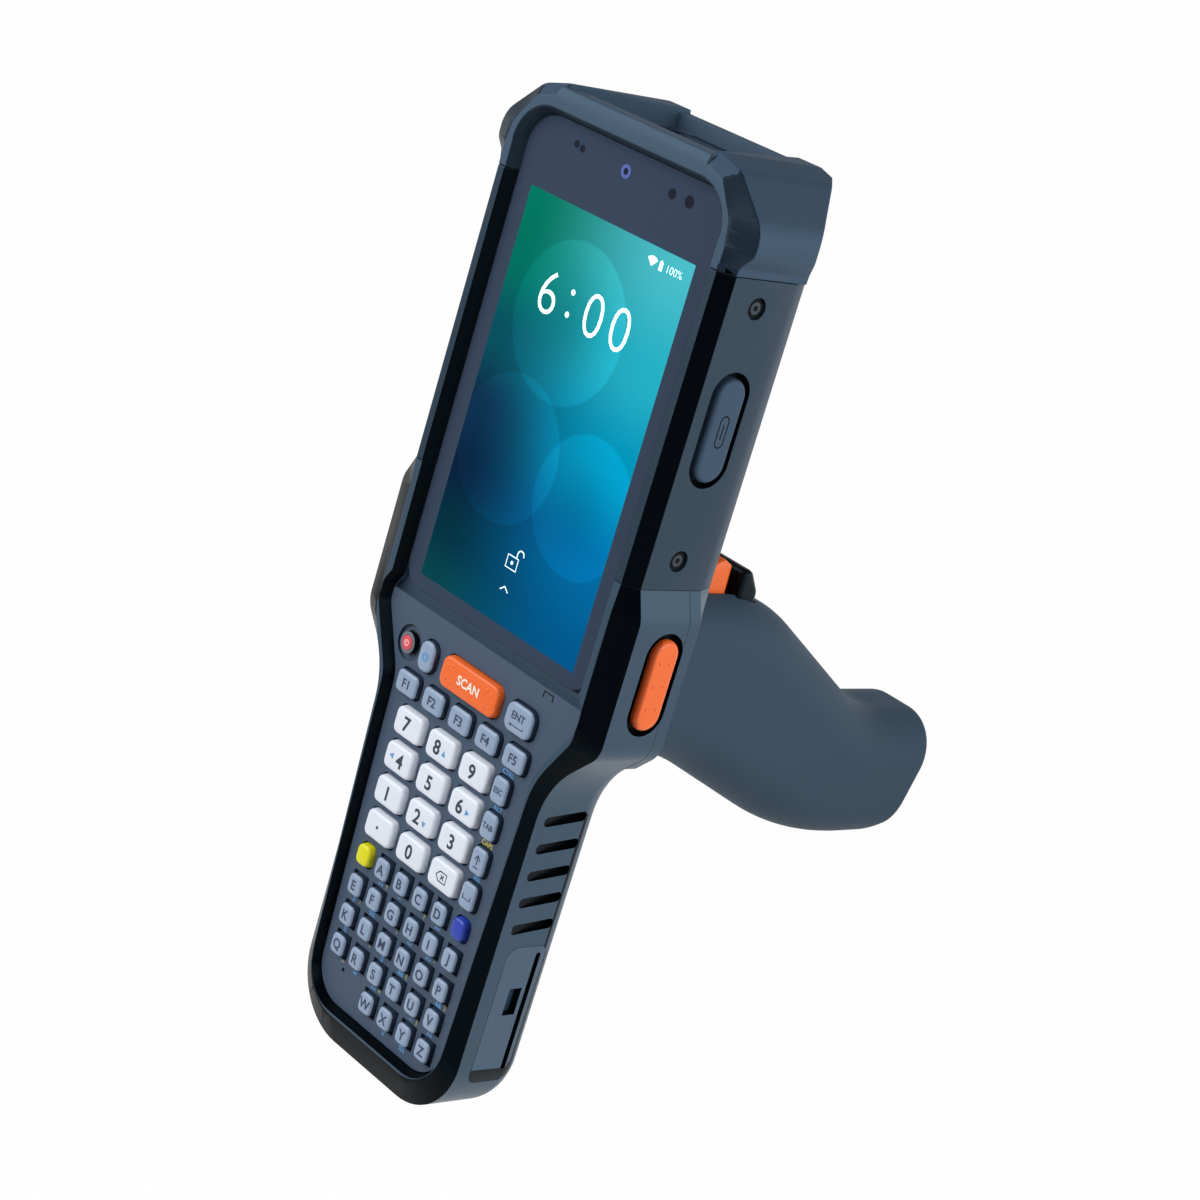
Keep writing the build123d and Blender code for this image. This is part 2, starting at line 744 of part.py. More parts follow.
letter_places = []
for row, columns in enumerate([range(1, 5), range(6), range(6), range(6), range(2, 6)]):
    for column in columns:
        x = letter_x + (column - 2.5) * letter_pitch_x
        letter_places.append((x, -letter_first_row - row * letter_pitch_y))


def key_caps(places, width, height, corner):
    """Bevelled key caps of one size at the given places."""
    with BuildPart() as caps:
        with BuildSketch(Plane.XY.offset(key_floor)):
            with Locations(*places):
                RectangleRounded(width, height, corner)
        extrude(amount=key_crown - key_floor)
        chamfer(caps.faces().filter_by_position(Axis.Z, key_crown, key_crown).edges(), length=key_bevel)
    return caps.part


for name, x, y, width, height, corner in keys:
    keep(key_caps([(x, y)], width, height, corner), name)
keep(key_caps(letter_places, *letter_size, letter_corner), "letter_keys")

with BuildPart() as power_key:
    with BuildSketch(Plane.XY.offset(key_floor)):
        with Locations((power_x, -top_row)):
            Circle(power_radius)
    extrude(amount=panel_top + 0.7 - key_floor)
    chamfer(power_key.faces().sort_by(Axis.Z)[-1].edges(), length=0.4)
keep(power_key.part, "power_key")

# ---- keypad panel with an opening for each key ---------------------------------------
with BuildPart() as keypad_panel:
    with BuildSketch(Plane.XY.offset(panel_bottom)):
        add(keypad_outline(fixed_gap))
        for name, x, y, width, height, corner in keys:
            with Locations((x, y)):
                RectangleRounded(
                    width + 2 * key_gap, height + 2 * key_gap, corner + key_gap, mode=Mode.SUBTRACT
                )
        with Locations(*letter_places):
            Rectangle(letter_size[0] + 2 * key_gap, letter_size[1] + 2 * key_gap, mode=Mode.SUBTRACT)
        with Locations((power_x, -top_row)):
            Circle(power_radius + key_gap, mode=Mode.SUBTRACT)
        with Locations((-2.15 * letter_pitch_x, -letter_first_row - microphone_drop)):
            Circle(0.5, mode=Mode.SUBTRACT)
    extrude(amount=panel_top - panel_bottom)
    with BuildSketch(Plane.XY.offset(panel_top)):
        with Locations((power_x, -top_row)):
            Circle(power_recess_radius)
    extrude(amount=-power_recess_depth, mode=Mode.SUBTRACT)
keep(keypad_panel.part, "keypad_panel")

with BuildPart() as key_mat:
    with BuildSketch(Plane.XY.offset(mat_top)):
        add(keypad_outline(ledge + mat_gap))
    extrude(amount=-mat_thickness)
keep(key_mat.part, "key_mat")

with BuildPart() as keypad_board:
    with BuildSketch(Plane.XY.offset(mat_top - mat_thickness)):
        add(keypad_outline(ledge + mat_gap))
    extrude(amount=-board_thickness)
keep(keypad_board.part, "keypad_board")

# ---- boards and inner pieces ---------------------------------------------------------
main_board_half = core_half - 10.6
main_board_reach = head_core_reach - 5.5

with BuildPart() as main_board:
    with BuildSketch(Plane.XY.offset(deck_bottom - fixed_gap)):
        Rectangle(2 * main_board_half, 2 * main_board_reach)
        with Locations((core_half - 9, usb_y)):
            Rectangle(14, 20)
    extrude(amount=-board_thickness)
    with BuildSketch(Plane.XY.offset(deck_bottom - fixed_gap - board_thickness)):
        with Locations((-8, 20), (10, 26), (-6, -14)):
            Rectangle(14, 14)
        with Locations((10, -10), (-12, 40)):
            Rectangle(9, 12)
    extrude(amount=-1.4)
keep(main_board.part, "main_board")

with BuildPart() as usb_socket:
    add(side_slot(core_half - 6.5, usb_y, usb_z, (9.0, 3.2), 8.2))
    add(side_slot(core_half - 5.5, usb_y, usb_z, (8.3, 2.5), 8.0), mode=Mode.SUBTRACT)
    add(side_block(core_half - 5.5, usb_y, usb_z, (6.6, 0.7), 6.2))
    # tabs up to the main board
    board_underside = deck_bottom - fixed_gap - board_thickness
    with BuildSketch(Plane.XY.offset(usb_z + 1.5)):
        with Locations((core_half - 4.5, usb_y)):
            Rectangle(3.0, 8.0)
    extrude(amount=board_underside - fixed_gap - usb_z - 1.5)
keep(usb_socket.part, "usb_socket")

with BuildPart() as usb_cover:
    cover = (usb_pocket[0] - 2 * usb_groove, usb_pocket[1] - 2 * usb_groove)
    cover_depth = usb_pocket_depth + usb_cover_proud - fixed_gap
    add(side_slot(rail_half - usb_pocket_depth + fixed_gap, usb_y, usb_z, cover, cover_depth))
    chamfer(usb_cover.faces().sort_by(Axis.X)[-1].edges(), length=0.6)
keep(usb_cover.part, "usb_cover")

with BuildPart() as scan_window:
    with BuildSketch(Plane.XZ.offset(-head_core_reach)):
        with Locations((0, (window_low + window_high) / 2)):
            Rectangle(2 * window_half + 1.6, window_high - window_low + 1.6)
    extrude(amount=window_thickness)
keep(scan_window.part, "scan_window")

engine_front = head_core_reach - wall - 1.5
with BuildPart() as scan_engine:
    with BuildSketch(Plane.XZ.offset(-engine_front)):
        with Locations((0, (scan_floor + fixed_gap - 9.0) / 2)):
            Rectangle(24, -9.0 - scan_floor - fixed_gap)
    extrude(amount=12)
    with BuildSketch(Plane.XZ.offset(-engine_front)):
        with Locations((-6, -16)):
            Circle(3.6)
        with Locations((5.5, -16)):
            Rectangle(9, 7)
    extrude(amount=-2.2)
keep(scan_engine.part, "scan_engine")

with BuildPart() as speaker:
    with BuildSketch(Plane.XY.offset(rear_floor + fixed_gap)):
        with Locations((-16, 8)):
            Circle(7.5)
    extrude(amount=3.2)
keep(speaker.part, "speaker")

# ---- side buttons --------------------------------------------------------------------
with BuildPart() as side_button_right:
    base = wide_half - button_pocket_depth + button_lift
    add(side_slot(base, side_button_y, side_button_z, button_size, wide_half + button_proud - base))
    chamfer(side_button_right.faces().sort_by(Axis.X)[-1].edges(), length=0.7)
    add(side_block(base - 3.0, side_button_y, side_button_z, stem_size, 3.4))
keep(side_button_right.part, "side_button_right")
keep(mirror(side_button_right.part, about=Plane.YZ), "side_button_left")

# ---- strap anchors, inlaid near the tail ---------------------------------------------
with BuildPart() as strap_anchor_right:
    add(anchor_form())
    add(form, mode=Mode.INTERSECT)
    hole = side_block(anchor_floor - 1, strap_hole_y, strap_hole_z, strap_hole, 5)
    add(hole, mode=Mode.SUBTRACT)
    groove_y = (anchor_first_y + anchor_last_y) / 2 + 0.7
    groove = side_slot(anchor_floor + 0.6, groove_y, strap_groove_z, strap_groove, 5)
    add(groove, mode=Mode.SUBTRACT)
keep(strap_anchor_right.part, "strap_anchor_right")
keep(mirror(strap_anchor_right.part, about=Plane.YZ), "strap_anchor_left")

# ---- grip ----------------------------------------------------------------------------
# side profile, from the body down to the base and back up: (Y, Z) and corner radius
grip_top_z = -15.0
grip_heel = (-94.6, -125.0)
grip_profile = [
    (-33.5, grip_top_z, 0), (-33.5, -70.8, 45.0), (-63.0, -116.6, 30.0), (-63.2, -138.8, 0),
    (-87.0, -132.3, 0), (*grip_heel, 0), (-94.6, -102.1, 80.0), (-72.3, -53.0, 60.0),
    (-68.5, grip_top_z, 0),
]


def grip_form():
    """Solid of the grip: its side profile across its full width, rounded lengthwise."""
    corners = [(y, z) for y, z, radius in grip_profile]
    with BuildPart() as solid:
        with BuildSketch(Plane.YZ.offset(-grip_half_width)):
            with BuildLine():
                FilletPolyline(*corners, radius=[radius for y, z, radius in grip_profile], close=True)
            make_face()
        extrude(amount=2 * grip_half_width)
        underside = solid.faces().filter_by(lambda face: face.normal_at().Z < -0.6)
        ends = [*underside.edges(), *solid.faces().sort_by(Axis.Z)[-1].edges()]
        flanks = solid.faces().filter_by(Axis.X).edges()
        fillet([edge for edge in flanks if edge not in ends], radius=grip_round)
        fillet(solid.faces().sort_by(Axis.Z)[0].edges(), radius=grip_base_round)
    return solid.part


grip_screw_places = [(-61.0, pin_z - 4.0), (-62.0, pin_z - 50.0), (-78.0, pin_z - 86.0)]
screw_grip = 9.8          # depth of the counterbore's floor from the seam
bezel_front = pin_y + 11.0
bezel_top = trigger_tip_z - bezel_gap
bezel_profile = [
    (bezel_front, bezel_top), (bezel_front, bezel_top - 3.0), (bezel_front - 5.0, bezel_top - 6.4),
    (bezel_front - 15.0, bezel_top - 6.4), (bezel_front - 15.0, bezel_top),
]
switch_size = (5.8, 12.8)
switch_half = 3.2
switch_y = pin_y - 12.0
switch_z = pin_z - 16.0


def bezel_form(gap=0.0):
    """Block below the trigger, let into the grip's front, grown by gap."""
    with BuildPart() as block:
        with BuildSketch(Plane.YZ):
            with BuildLine():
                FilletPolyline(*bezel_profile, radius=[1.5, 2.0, 2.5, 0.0, 0.0], close=True)
            make_face()
            if gap:
                offset(amount=gap)
        extrude(amount=bezel_half + gap, both=True)
    return block.part


def grip_bar(y, z, radius, start, end):
    """Round bar across the grip from x = start to x = end."""
    with BuildPart() as bar:
        with BuildSketch(Plane.YZ.offset(start)):
            with Locations((y, z)):
                Circle(radius)
        extrude(amount=end - start)
    return bar.part


def grip_pocket():
    """Profile of the hollow inside the grip, moved in from its front and back."""
    front = [(y - grip_wall, z) for y, z, radius in grip_profile[:3]]
    back = [(y + grip_wall, z) for y, z, radius in grip_profile[-3:]]
    above_base = grip_profile[3][1] + 12.0
    with BuildSketch() as pocket:
        with BuildLine():
            Polyline(
                *front, (front[-1][0], above_base), (back[0][0], above_base + 4.0), *back, close=True
            )
        make_face()
    return pocket.sketch


pin_half = 12.9
thread_radius = 1.3
grip_screw_radius = 2.7


def grip_half(side):
    """One moulded half of the grip, with its bosses: side 1 is right, side -1 is left."""
    with BuildPart() as half:
        add(grip)
        split(bisect_by=Plane.YZ, keep=Keep.TOP if side > 0 else Keep.BOTTOM)
        with BuildSketch(Plane.YZ):
            add(grip_pocket())
        extrude(amount=side * grip_hollow, mode=Mode.SUBTRACT)
        for y, z in grip_screw_places:
            add(grip_bar(y, z, boss_radius, side * seam_gap / 2, side * (grip_hollow + 0.5)))
        boss_face = trigger_half + slot_clear
        add(grip_bar(pin_y, pin_z, boss_radius, side * boss_face, side * (grip_hollow + 0.5)))
        if side > 0:
            shelf = side_block(switch_half + fixed_gap, switch_y, switch_z, (5.0, 9.0), grip_hollow - 3)
            add(shelf)
        add(form, mode=Mode.SUBTRACT)
        # slot in the front wall for the trigger and its bezel
        with BuildSketch(Plane.YZ):
            with Locations((pin_y + 9, (bezel_top + body_back) / 2)):
                Rectangle(32, body_back - bezel_top)
        extrude(amount=side * boss_face, mode=Mode.SUBTRACT)
        add(bezel_form(fixed_gap), mode=Mode.SUBTRACT)
        pin_hole = grip_bar(pin_y, pin_z, pin_radius + 0.02, side * (boss_face - 4), side * pin_half)
        add(pin_hole, mode=Mode.SUBTRACT)
        for y, z in grip_screw_places:
            if side < 0:
                add(grip_bar(y, z, thread_radius + 0.2, 0, -20), mode=Mode.SUBTRACT)
                add(grip_bar(y, z, grip_screw_radius + 0.3, -screw_grip, -20), mode=Mode.SUBTRACT)
            else:
                add(grip_bar(y, z, thread_radius + 0.1, 0, screw_grip - 0.6), mode=Mode.SUBTRACT)
    return half.part


grip = grip_form()
keep(grip_half(1), "grip_half_right")
keep(grip_half(-1), "grip_half_left")

with BuildPart() as grip_screws:
    for y, z in grip_screw_places:
        add(grip_bar(y, z, thread_radius, -screw_grip, screw_grip - 0.8))
        add(grip_bar(y, z, grip_screw_radius, -screw_grip - 1.8, -screw_grip))
keep(grip_screws.part, "grip_screws")

with BuildPart() as trigger_bezel:
    add(bezel_form())
keep(trigger_bezel.part, "trigger_bezel")

with BuildPart() as trigger_pin:
    add(grip_bar(pin_y, pin_z, pin_radius, fixed_gap - pin_half, pin_half - fixed_gap))
keep(trigger_pin.part, "trigger_pin")

# ---- trigger: finger lever on the pin ------------------------------------------------
finger_y = pin_y + 12.0
finger_top = (finger_y, pin_z - 5.5)
finger_low = (finger_y + 0.8, trigger_tip_z + 2.6)
tip = (finger_y - 0.6, trigger_tip_z)
tip_back = (finger_y - 9.0, trigger_tip_z - 0.4)
with BuildPart() as trigger:
    with BuildSketch(Plane.YZ):
        with BuildLine():
            ThreePointArc(finger_top, (finger_y - 1.8, pin_z - 15.0), finger_low)
            Polyline(
                finger_low, tip, tip_back, (pin_y - 6.5, pin_z - 16.0), (pin_y - 5.5, pin_z),
                (pin_y + 6.0, pin_z + 4.5), (finger_y - 1.4, pin_z + 0.5), finger_top,
            )
        make_face()
    extrude(amount=trigger_half, both=True)
    chamfer(trigger.faces().filter_by(Axis.X)[0].edges(), length=0.9)
    chamfer(trigger.faces().filter_by(Axis.X)[-1].edges(), length=0.9)
    add(grip_bar(pin_y, pin_z, pin_radius + shaft_gap, -10, 10), mode=Mode.SUBTRACT)
    with BuildSketch(Plane.YZ):
        with Locations((pin_y - 3, pin_z)):
            Rectangle(12.4, 9.0)
    extrude(amount=2.4, both=True, mode=Mode.SUBTRACT)
keep(trigger.part, "trigger")

# ---- trigger spring: three turns on the pin, legs back and down -----------------------
wire = 0.35
coil_radius = 2.2
coil_turns = 3
with BuildPart() as trigger_spring:
    with BuildLine() as coil:
        Helix(1.0, coil_turns, coil_radius, center=(-1.5, pin_y, pin_z), direction=(1, 0, 0))
    with BuildSketch(Plane(origin=coil.line @ 0, z_dir=coil.line % 0)):
        RegularPolygon(wire, 6)
    sweep(path=coil.line)
keep(trigger_spring.part, "trigger_spring")

with BuildPart() as trigger_switch:
    with BuildSketch(Plane.YZ):
        with Locations((switch_y, switch_z)):
            Rectangle(*switch_size)
    extrude(amount=switch_half, both=True)
    with BuildSketch(Plane.YZ):
        with Locations((switch_y + switch_size[0] / 2, switch_z + 3)):
            Rectangle(1.0, 1.6)
    extrude(amount=1.2, both=True)
keep(trigger_switch.part, "trigger_switch")

# ---- standing position: tail and grip heel on the floor ------------------------------
heel_y, heel_z = grip_heel
tail_centre_y = -tail_reach + back_radius
tail_centre_z = handle_back + back_radius
run = heel_y - tail_centre_y
drop = tail_centre_z - heel_z
lean = degrees(atan2(run, drop))
for _ in range(20):
    touch = back_radius / cos(radians(lean))
    lean = degrees(atan2(run + touch, drop))
turned = [piece.moved(Location((0, 0, 0), (90 - lean, 0, 0))) for piece in pieces]
boxes = [piece.bounding_box() for piece in turned]
low_y = min(box.min.Y for box in boxes)
high_y = max(box.max.Y for box in boxes)
low_z = min(box.min.Z for box in boxes)
stance = Location((0, -(low_y + high_y) / 2, -low_z), (90 - lean, 0, 0))

for piece in pieces:
    placed = piece.moved(stance)
    placed.label = piece.label
    export_step(placed, f"parts/{piece.label}.step")
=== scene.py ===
import json
import logging
import math
from collections.abc import Callable, Iterable
from dataclasses import dataclass, field
from enum import Enum

import bpy
from bpy.types import Material, MeshPolygon, Node, NodeOutputs, NodeSocket, NodeTree, Object
from mathutils import Matrix, Vector


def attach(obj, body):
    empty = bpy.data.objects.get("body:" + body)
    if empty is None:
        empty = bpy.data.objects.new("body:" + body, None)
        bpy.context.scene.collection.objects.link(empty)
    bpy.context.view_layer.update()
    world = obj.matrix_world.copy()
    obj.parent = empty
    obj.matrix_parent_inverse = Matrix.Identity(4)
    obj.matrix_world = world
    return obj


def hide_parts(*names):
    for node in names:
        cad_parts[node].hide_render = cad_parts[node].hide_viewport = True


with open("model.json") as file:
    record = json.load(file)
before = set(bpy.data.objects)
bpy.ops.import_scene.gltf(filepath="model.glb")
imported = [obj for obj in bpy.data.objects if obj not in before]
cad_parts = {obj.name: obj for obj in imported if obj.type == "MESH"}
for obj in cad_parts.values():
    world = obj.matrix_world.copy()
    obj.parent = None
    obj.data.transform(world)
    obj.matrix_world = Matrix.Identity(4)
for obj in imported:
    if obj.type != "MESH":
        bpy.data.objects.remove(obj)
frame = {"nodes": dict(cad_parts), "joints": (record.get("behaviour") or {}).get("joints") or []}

# Looks of a rugged pistol-grip data terminal. Pieces are modelled in the terminal's own axes, in
# millimetres (x right, y towards the head, z out of the screen, origin at the screen's centre on
# the glass), and are then carried into the row frame, in metres, by Device.

LOG = logging.getLogger("terminal")
MM = 0.001
GLASS_REACH = 59.1              # screen centre to the glass's upper edge
ROOT = "terminal"               # body that carries everything fixed
PRINT_DEPTH = 0.012             # half the thickness of printing
CROWN = 0.06                    # how far a key's top is crowned
SAME = 1e-4                     # points closer than this are taken as one
LEVEL = 0.999                   # normals beyond this point straight out
CIRCLE_STEPS = 32               # sides of a drawn circle
ARC_STEP = 12                   # longest step along a drawn arc, in degrees

Colour = tuple[float, float, float, float]
Point = tuple[float, float]
Triple = tuple[float, float, float]
Step = Callable[[], object]
Feed = NodeSocket | float | Iterable[float]
FaceTest = Callable[[MeshPolygon], bool]

WHITE: Colour = (1.0, 1.0, 1.0, 1.0)
BLACK: Colour = (0.0, 0.0, 0.0, 1.0)
COOL: Colour = (0.50, 0.80, 1.0, 1.0)   # navy plastics mirror the studio a little blue


class Ink(str, Enum):
    """Printing inks of the legends; the black one also lays painted shade in gaps and notches."""

    DARK = "ink_dark"
    SLATE = "ink_slate"
    PALE = "ink_pale"
    SKY = "ink_sky"
    YELLOW = "ink_yellow"
    LIT = "screen_lit"
    # black print, and painted shade in gaps and notches
    BLACK = "ink_black"


class Pick(Enum):
    """What is selected for editing: the mode's name and the mesh's list of it."""

    EDGES = ("EDGE", "edges")
    FACES = ("FACE", "polygons")


def linear(hex_code: str) -> Colour:
    """Turn a colour as written on a screen into Blender's linear values.

    Args:
        hex_code: Six hexadecimal digits, such as "3f4e5e".

    Returns:
        Red, green and blue, each from 0 to 1, and full opacity.
    """
    shares = [int(hex_code[i:i + 2], 16) / 255 for i in (0, 2, 4)]
    return (*(c / 12.92 if c <= 0.04045 else ((c + 0.055) / 1.055) ** 2.4 for c in shares), 1.0)


# ---- tools for meshes ----------------------------------------------------------------------


def activate(obj: Object) -> None:
    """Select one object alone and make it the active one."""
    bpy.ops.object.select_all(action="DESELECT")
    obj.select_set(True)
    bpy.context.view_layer.objects.active = obj


def new_object(name: str, data: bpy.types.ID) -> Object:
    """Put an object into the scene.

    Args:
        name: Name of the object.
        data: Its mesh, curve, lamp or camera.

    Returns:
        The object.
    """
    obj = bpy.data.objects.new(name, data)
    bpy.context.collection.objects.link(obj)
    return obj


def edit(obj: Object, mode: str, *steps: Step) -> None:
    """Run operators on an object in edit mode.

    Args:
        obj: The object to edit.
        mode: VERT, EDGE or FACE.
        steps: Operators to run, in order.
    """
    activate(obj)
    bpy.context.tool_settings.mesh_select_mode = (mode == "VERT", mode == "EDGE", mode == "FACE")
    bpy.ops.object.mode_set(mode="EDIT")
    for step in steps:
        step()
    bpy.ops.object.mode_set(mode="OBJECT")


def shape(obj: Object, pick: Pick, test: Callable[..., bool], *steps: Step) -> None:
    """Run operators on the edges or faces that pass a test.

    Args:
        obj: The mesh object, in object mode.
        pick: Whether edges or faces are selected.
        test: Says of an edge or a face whether it is wanted.
        steps: Operators to run, in order.
    """
    mode, elements = pick.value
    mesh = obj.data
    for element in (*mesh.vertices, *mesh.edges, *mesh.polygons):
        element.select = False
    for element in getattr(mesh, elements):
        element.select = test(element)
    edit(obj, mode, *steps)


def bevel(offset: float, segments: int) -> Step:
    """Step that bevels the selected edges."""
    return lambda: bpy.ops.mesh.bevel(
        offset=offset, segments=segments, affect="EDGES", clamp_overlap=False)


def inset(thickness: float) -> Step:
    """Step that insets the selected faces."""
    return lambda: bpy.ops.mesh.inset(thickness=thickness)


def extrude(height: float) -> Step:
    """Step that extrudes the selected faces upwards."""
    return lambda: bpy.ops.mesh.extrude_region_move(
        TRANSFORM_OT_translate={"value": (0.0, 0.0, height)})


def raised(height: float) -> Step:
    """Step that moves what is selected upwards."""
    return lambda: bpy.ops.transform.translate(value=(0.0, 0.0, height))


def modify(obj: Object, kind: str, **settings: object) -> None:
    """Add a modifier and apply it.

    Args:
        obj: The mesh object.
        kind: Type of the modifier.
        settings: Its properties.
    """
    modifier = obj.modifiers.new(kind.lower(), kind)
    for name, value in settings.items():
        setattr(modifier, name, value)
    activate(obj)
    bpy.ops.object.modifier_apply(modifier=modifier.name)


def shade(obj: Object, angle: float, weigh: bool = False) -> None:
    """Shade a mesh smooth, except across sharp edges.

    Args:
        obj: The mesh object.
        angle: Edges that turn by more than this stay sharp, in degrees.
        weigh: Whether large faces keep their own normals, so that flat walls look flat.
    """
    activate(obj)
    bpy.ops.object.shade_smooth_by_angle(angle=math.radians(angle))
    if weigh:
        modify(obj, "WEIGHTED_NORMAL", keep_sharp=True)


def paint(obj: Object, *materials: Material) -> None:
    """Give an object its materials.

    Args:
        obj: The object.
        materials: Its materials; all faces take the first.
    """
    obj.data.materials.clear()
    for material in materials:
        obj.data.materials.append(material)


def joined(parts: list[Object]) -> Object:
    """Join objects into the first of them.

    Args:
        parts: Mesh objects with their place in their mesh.

    Returns:
        The joined object.
    """
    activate(parts[0])
    for part in parts[1:]:
        part.select_set(True)
    if len(parts) > 1:
        bpy.ops.object.join()
    return parts[0]


def copies(pattern: Object, places: Iterable[Triple]) -> list[Object]:
    """Copy an object to each place, each copy with its own mesh, and delete the pattern.

    Args:
        pattern: The object to copy, about the origin.
        places: Where the copies go.

    Returns:
        The copies.
    """
    made = []
    for place in places:
        made.append(new_object(pattern.name, pattern.data.copy()))
        made[-1].data.transform(Matrix.Translation(place))
    bpy.data.objects.remove(pattern)
    return made


@dataclass(frozen=True)
class Box:
    """A box in the terminal's axes, in millimetres."""

    low: Vector
    high: Vector

    @property
    def middle(self) -> Vector:
        """The box's centre."""
        return (self.low + self.high) / 2

    @property
    def size(self) -> Vector:
        """The box's three lengths."""
        return self.high - self.low

    def holds(self, point: Vector) -> bool:
        """Whether a point lies inside the box."""
        return all(self.low[i] < point[i] < self.high[i] for i in range(3))


@dataclass(frozen=True)
class Device:
    """The terminal's own axes, and the way from them into the row frame."""

    matrix: Matrix

    @classmethod
    def from_frame(cls) -> "Device":
        """Find the axes from the way a key is pressed and from the glass.

        Returns:
            The terminal's axes.
        """
        press = next(j for j in frame["joints"] if j["name"] == "scan_key_press")
        out = -Vector(press["axis"]).normalized()
        right = Vector((1.0, 0.0, 0.0))
        turn = Matrix((right, out.cross(right), out)).transposed()
        glass = [turn.inverted() @ v.co for v in frame["nodes"]["display_glass"].data.vertices]
        head = max(point.y for point in glass)
        top = max(point.z for point in glass)
        origin = turn @ Vector((0.0, head - GLASS_REACH * MM, top))
        return cls(Matrix.Translation(origin) @ turn.to_4x4() @ Matrix.Scale(MM, 4))

    def point(self, x: float, y: float, z: float) -> Vector:
        """Row position, in metres, of a point given in the terminal's axes."""
        return self.matrix @ Vector((x, y, z))

    def direction(self, x: float, y: float, z: float) -> Vector:
        """Row direction of a direction given in the terminal's axes."""
        return (self.matrix.to_3x3() @ Vector((x, y, z))).normalized()

    def box(self, node: str) -> Box:
        """Measure a CAD node.

        Args:
            node: Name of the CAD node.

        Returns:
            The box round it.
        """
        back = self.matrix.inverted()
        points = [back @ v.co for v in frame["nodes"][node].data.vertices]
        low, high = (Vector([end(p[i] for p in points) for i in range(3)]) for end in (min, max))
        return Box(low, high)

    def copy_of(self, node: str) -> Object:
        """Copy a CAD node into the terminal's axes.

        Args:
            node: Name of the CAD node.

        Returns:
            The copy, with flat areas joined into single faces.
        """
        obj = new_object(node + "_skin", frame["nodes"][node].data.copy())
        obj.data.transform(self.matrix.inverted())
        activate(obj)
        bpy.ops.mesh.customdata_custom_splitnormals_clear()
        edit(
            obj, "VERT",
            lambda: bpy.ops.mesh.select_all(action="SELECT"),
            lambda: bpy.ops.mesh.remove_doubles(threshold=0.001),
            lambda: bpy.ops.mesh.dissolve_limited(angle_limit=math.radians(0.5)),
        )
        return obj

    def to_flank(self, obj: Object, node: str, side: int) -> None:
        """Stand a flat piece on the outer face of a node in a flank.

        Args:
            obj: The piece, laid out about the origin.
            node: The node whose outer face carries it.
            side: 1 for the right flank, -1 for the left.
        """
        box = self.box(node)
        face = box.high.x if side > 0 else box.low.x
        turn = Matrix.Rotation(math.radians(90 * side), 4, "Y")
        obj.data.transform(Matrix.Translation((face, box.middle.y, box.middle.z)) @ turn)

    def settle(self, obj: Object, body: str, *nodes: str) -> None:
        """Carry a finished piece into the row frame and hang it on its body.

        Args:
            obj: The piece, in the terminal's axes.
            body: The CAD body it rides on.
            nodes: CAD nodes that it stands for.
        """
        obj.data.transform(self.matrix)
        obj.data.update()
        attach(obj, body)
        if nodes:
            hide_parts(*nodes)
        LOG.info("%s rides on %s: %d faces", obj.name, body, len(obj.data.polygons))


# ---- tools for flat prints -----------------------------------------------------------------


def arc(x: float, y: float, radius: float, start: float = 0.0, end: float = 360.0) -> list[Point]:
    """Points along an arc, or round a circle.

    Args:
        x: Centre across.
        y: Centre upwards.
        radius: Radius of the arc.
        start: Angle of the first point, in degrees from the right, anticlockwise.
        end: Angle of the last point; a full turn leaves the last point out.

    Returns:
        The points.
    """
    full = end - start >= 360
    steps = CIRCLE_STEPS if full else int((end - start) / ARC_STEP)
    count = steps if full else steps + 1
    turns = [start + (end - start) * i / steps for i in range(count)]
    return polygon(x, y, radius, turns)


def polygon(x: float, y: float, radius: float, angles: Iterable[float]) -> list[Point]:
    """Corners at these angles, in degrees, round a middle."""
    turns = [math.radians(angle) for angle in angles]
    return [(x + radius * math.cos(t), y + radius * math.sin(t)) for t in turns]


def drawn(
    outlines: list[list[Point]], level: float = 0.0, width: float = 0.0, closed: bool = True
) -> Object:
    """Print flat shapes, or strokes of one width, as a thin mesh.

    Args:
        outlines: Points of each shape or stroke.
        level: Height of the underside.
        width: Width of the strokes; 0 fills the shapes instead.
        closed: Whether the last point joins the first.

    Returns:
        The mesh object.
    """
    curve = bpy.data.curves.new("print", "CURVE")
    curve.dimensions = "3D" if width else "2D"
    if width:
        curve.bevel_depth = width / 2
        curve.bevel_resolution = 1
        curve.use_fill_caps = True
    else:
        curve.fill_mode = "BOTH"
        curve.extrude = PRINT_DEPTH
    for outline in outlines:
        spline = curve.splines.new("POLY")
        spline.points.add(len(outline) - 1)
        for point, (x, y) in zip(spline.points, outline):
            point.co = (x, y, 0.0, 1.0)
        spline.use_cyclic_u = closed
    activate(new_object("print", curve))
    bpy.ops.object.convert(target="MESH")
    obj = bpy.context.object
    if width:
        obj.data.transform(Matrix.Diagonal((1.0, 1.0, 2 * PRINT_DEPTH / width, 1.0)))
    obj.data.transform(Matrix.Translation((0.0, 0.0, level + PRINT_DEPTH)))
    return obj


